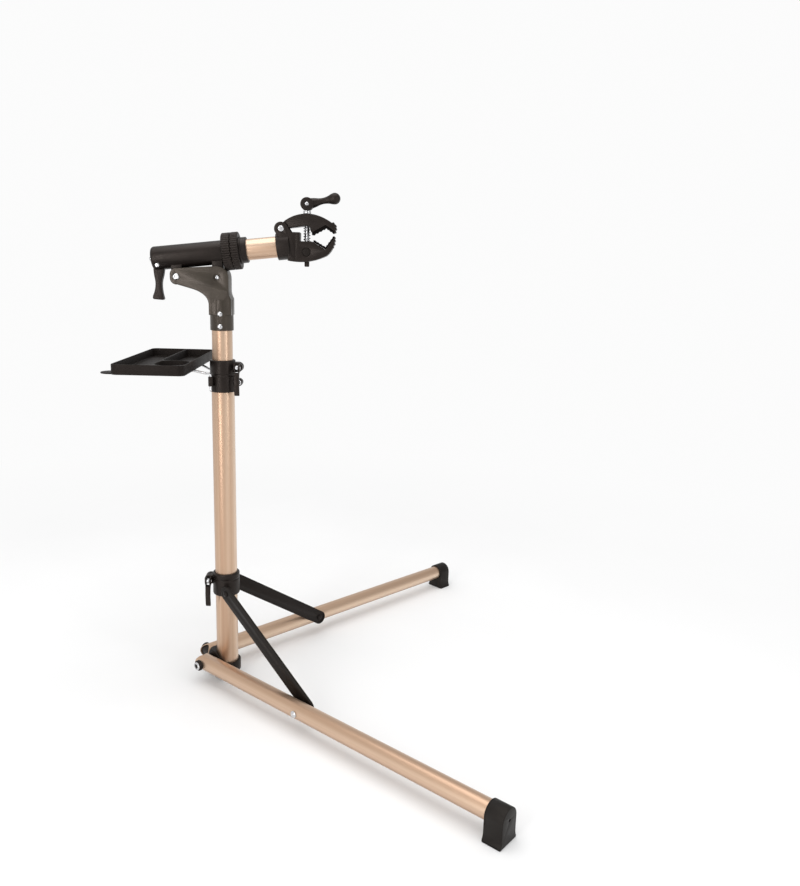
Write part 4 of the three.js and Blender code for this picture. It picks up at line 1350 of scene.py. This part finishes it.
def crank_handle():
    hub, ball, span = CRANK["hub"], CRANK["ball"], CRANK["span"]
    knob = arc(0, 0, ball, -0.36, 0.5, 22)
    profile = [(0, 4), (10.2, 4)]
    profile += curve((10.2, 4), (9.4, 14), (7.2, 21)) + curve((7.2, 21), (4.2, 31), (7.6, 43), 16)
    profile += curve((7.6, 43), (9.2, 46), (10.4, 51.2), 8)
    profile += [(r, span + h) for r, h in knob if span + h > 51.5 and r > 0.01] + [(0, span + ball)]
    grasp = moved(revolve(profile, 64), ALONG_X)
    slot = join(block(-20, 7.2, -5.2, 5.2, -20, 8.8), pin(8.4, -5.2, 5.2))
    hub_disc = pin(hub, -10.5, 10.5, 0, 0, 1.4)
    body = cut(join(hub_disc, grasp), slot, pin(CRANK["pin"] + GAP, -20, 20))
    turn = Matrix.Rotation(-CRANK["tilt"], 4, "Y")
    return shifted(moved(body, turn), SCREW["x"], 0, SCREW["eye"])


settle("crank_handle", crank_handle(), "plastic")

crank_pin = turned([
    (0, -12),
    (2.4, -11.9),
    (3.8, -10.8),
    (CRANK["pin"], -10.8),
    (CRANK["pin"], 10.4),
    (0, 10.4),
], 0.3, SCREW["x"], SCREW["eye"], 48)
settle("crank_pin", crank_pin, "chrome")

# ---- Floor, light and camera ----


BACKDROP = 0.97  # brightness of the backdrop and of the floor far away


def studio_floor():
    """A pale floor that fades into the backdrop."""
    material, nodes, links, shader = new_material("studio_floor")
    cloud = noise(nodes, links, 1.5, 3)
    tone = ramp(nodes, links, cloud, [(0.3, (0.86, 0.86, 0.86)), (0.7, (0.9, 0.9, 0.9))])
    links.new(tone, shader.inputs["Base Color"])
    shader.inputs["Roughness"].default_value = 0.9
    shader.inputs["Specular IOR Level"].default_value = 0.1
    place = nodes.new("ShaderNodeTexCoord")
    away = nodes.new("ShaderNodeVectorMath")
    away.operation = "LENGTH"
    links.new(place.outputs["Object"], away.inputs[0])
    fade = spread(nodes, links, away.outputs["Value"], 0, 1, 0.3, 2.2, "SMOOTHSTEP")
    glow = nodes.new("ShaderNodeEmission")
    glow.inputs["Color"].default_value = (BACKDROP, BACKDROP, BACKDROP, 1)
    mix = nodes.new("ShaderNodeMixShader")
    links.new(fade, mix.inputs["Fac"])
    links.new(shader.outputs["BSDF"], mix.inputs[1])
    links.new(glow.outputs["Emission"], mix.inputs[2])
    links.new(mix.outputs["Shader"], nodes["Material Output"].inputs["Surface"])
    floor = slab(disc(0, 0, 30, 96), -0.02, -0.0005, 0, "xy")
    floor.name = "studio_floor"
    floor.data.materials.append(material)


def studio_room():
    """A white room, brighter on the left, that the camera itself sees as an even backdrop."""
    world = bpy.data.worlds.new("studio")
    bpy.context.scene.world = world
    world.use_nodes = True
    nodes, links = world.node_tree.nodes, world.node_tree.links
    direction = nodes.new("ShaderNodeTexCoord")
    axes = nodes.new("ShaderNodeSeparateXYZ")
    links.new(direction.outputs["Generated"], axes.inputs["Vector"])
    ray = nodes.new("ShaderNodeLightPath")
    strength = nodes.new("ShaderNodeMix")
    strength.inputs["B"].default_value = BACKDROP
    room = spread(nodes, links, axes.outputs["X"], 0.85, 0.55, -0.9, 0.9, "SMOOTHSTEP")
    links.new(ray.outputs["Is Camera Ray"], strength.inputs["Factor"])
    links.new(room, strength.inputs["A"])
    links.new(strength.outputs["Result"], nodes["Background"].inputs["Strength"])
    nodes["Background"].inputs["Color"].default_value = (1, 1, 1, 1)


def softbox(name, place, target, width, height, power):
    light = bpy.data.lights.new(name, "AREA")
    light.shape = "RECTANGLE"
    light.size, light.size_y = width, height
    light.energy = power
    lamp = bpy.data.objects.new(name, light)
    bpy.context.scene.collection.objects.link(lamp)
    lamp.location = place
    lamp.rotation_mode = "QUATERNION"
    lamp.rotation_quaternion = (Vector(target) - Vector(place)).to_track_quat("-Z", "Y")
    lamp.visible_camera = False


def photographer():
    """The camera stands in front, a little to the right, and looks slightly down."""
    place = Vector((0.2775, -1.5991, 0.8635))
    yaw, pitch, roll = -0.0497, 0.2121, 0.03
    forward = Vector((
        -math.sin(yaw) * math.cos(pitch), math.cos(yaw) * math.cos(pitch), -math.sin(pitch)
    ))
    level = Vector((math.cos(yaw), math.sin(yaw), 0))
    rise = level.cross(forward)
    right = level * math.cos(roll) + rise * math.sin(roll)
    up = rise * math.cos(roll) - level * math.sin(roll)
    axes = Matrix((right, up, -forward)).transposed().to_4x4()
    camera = bpy.data.objects.new("camera", bpy.data.cameras.new("camera"))
    bpy.context.scene.collection.objects.link(camera)
    camera.matrix_world = Matrix.Translation(place) @ axes
    camera.data.lens = 32.5
    camera.data.clip_start = 0.05
    bpy.context.scene.camera = camera


studio_floor()
studio_room()
middle = (0.2, 0, 0.5)
softbox("key", (-0.95, -2.1, 0.75), (0, 0, 0.5), 0.4, 2.6, 22)
softbox("fill", (2.6, -1.9, 1.3), middle, 0.6, 2.0, 14)
softbox("top", (0.1, -0.4, 4.6), middle, 4.0, 4.0, 100)
photographer()
bpy.context.scene.view_settings.view_transform = "Standard"
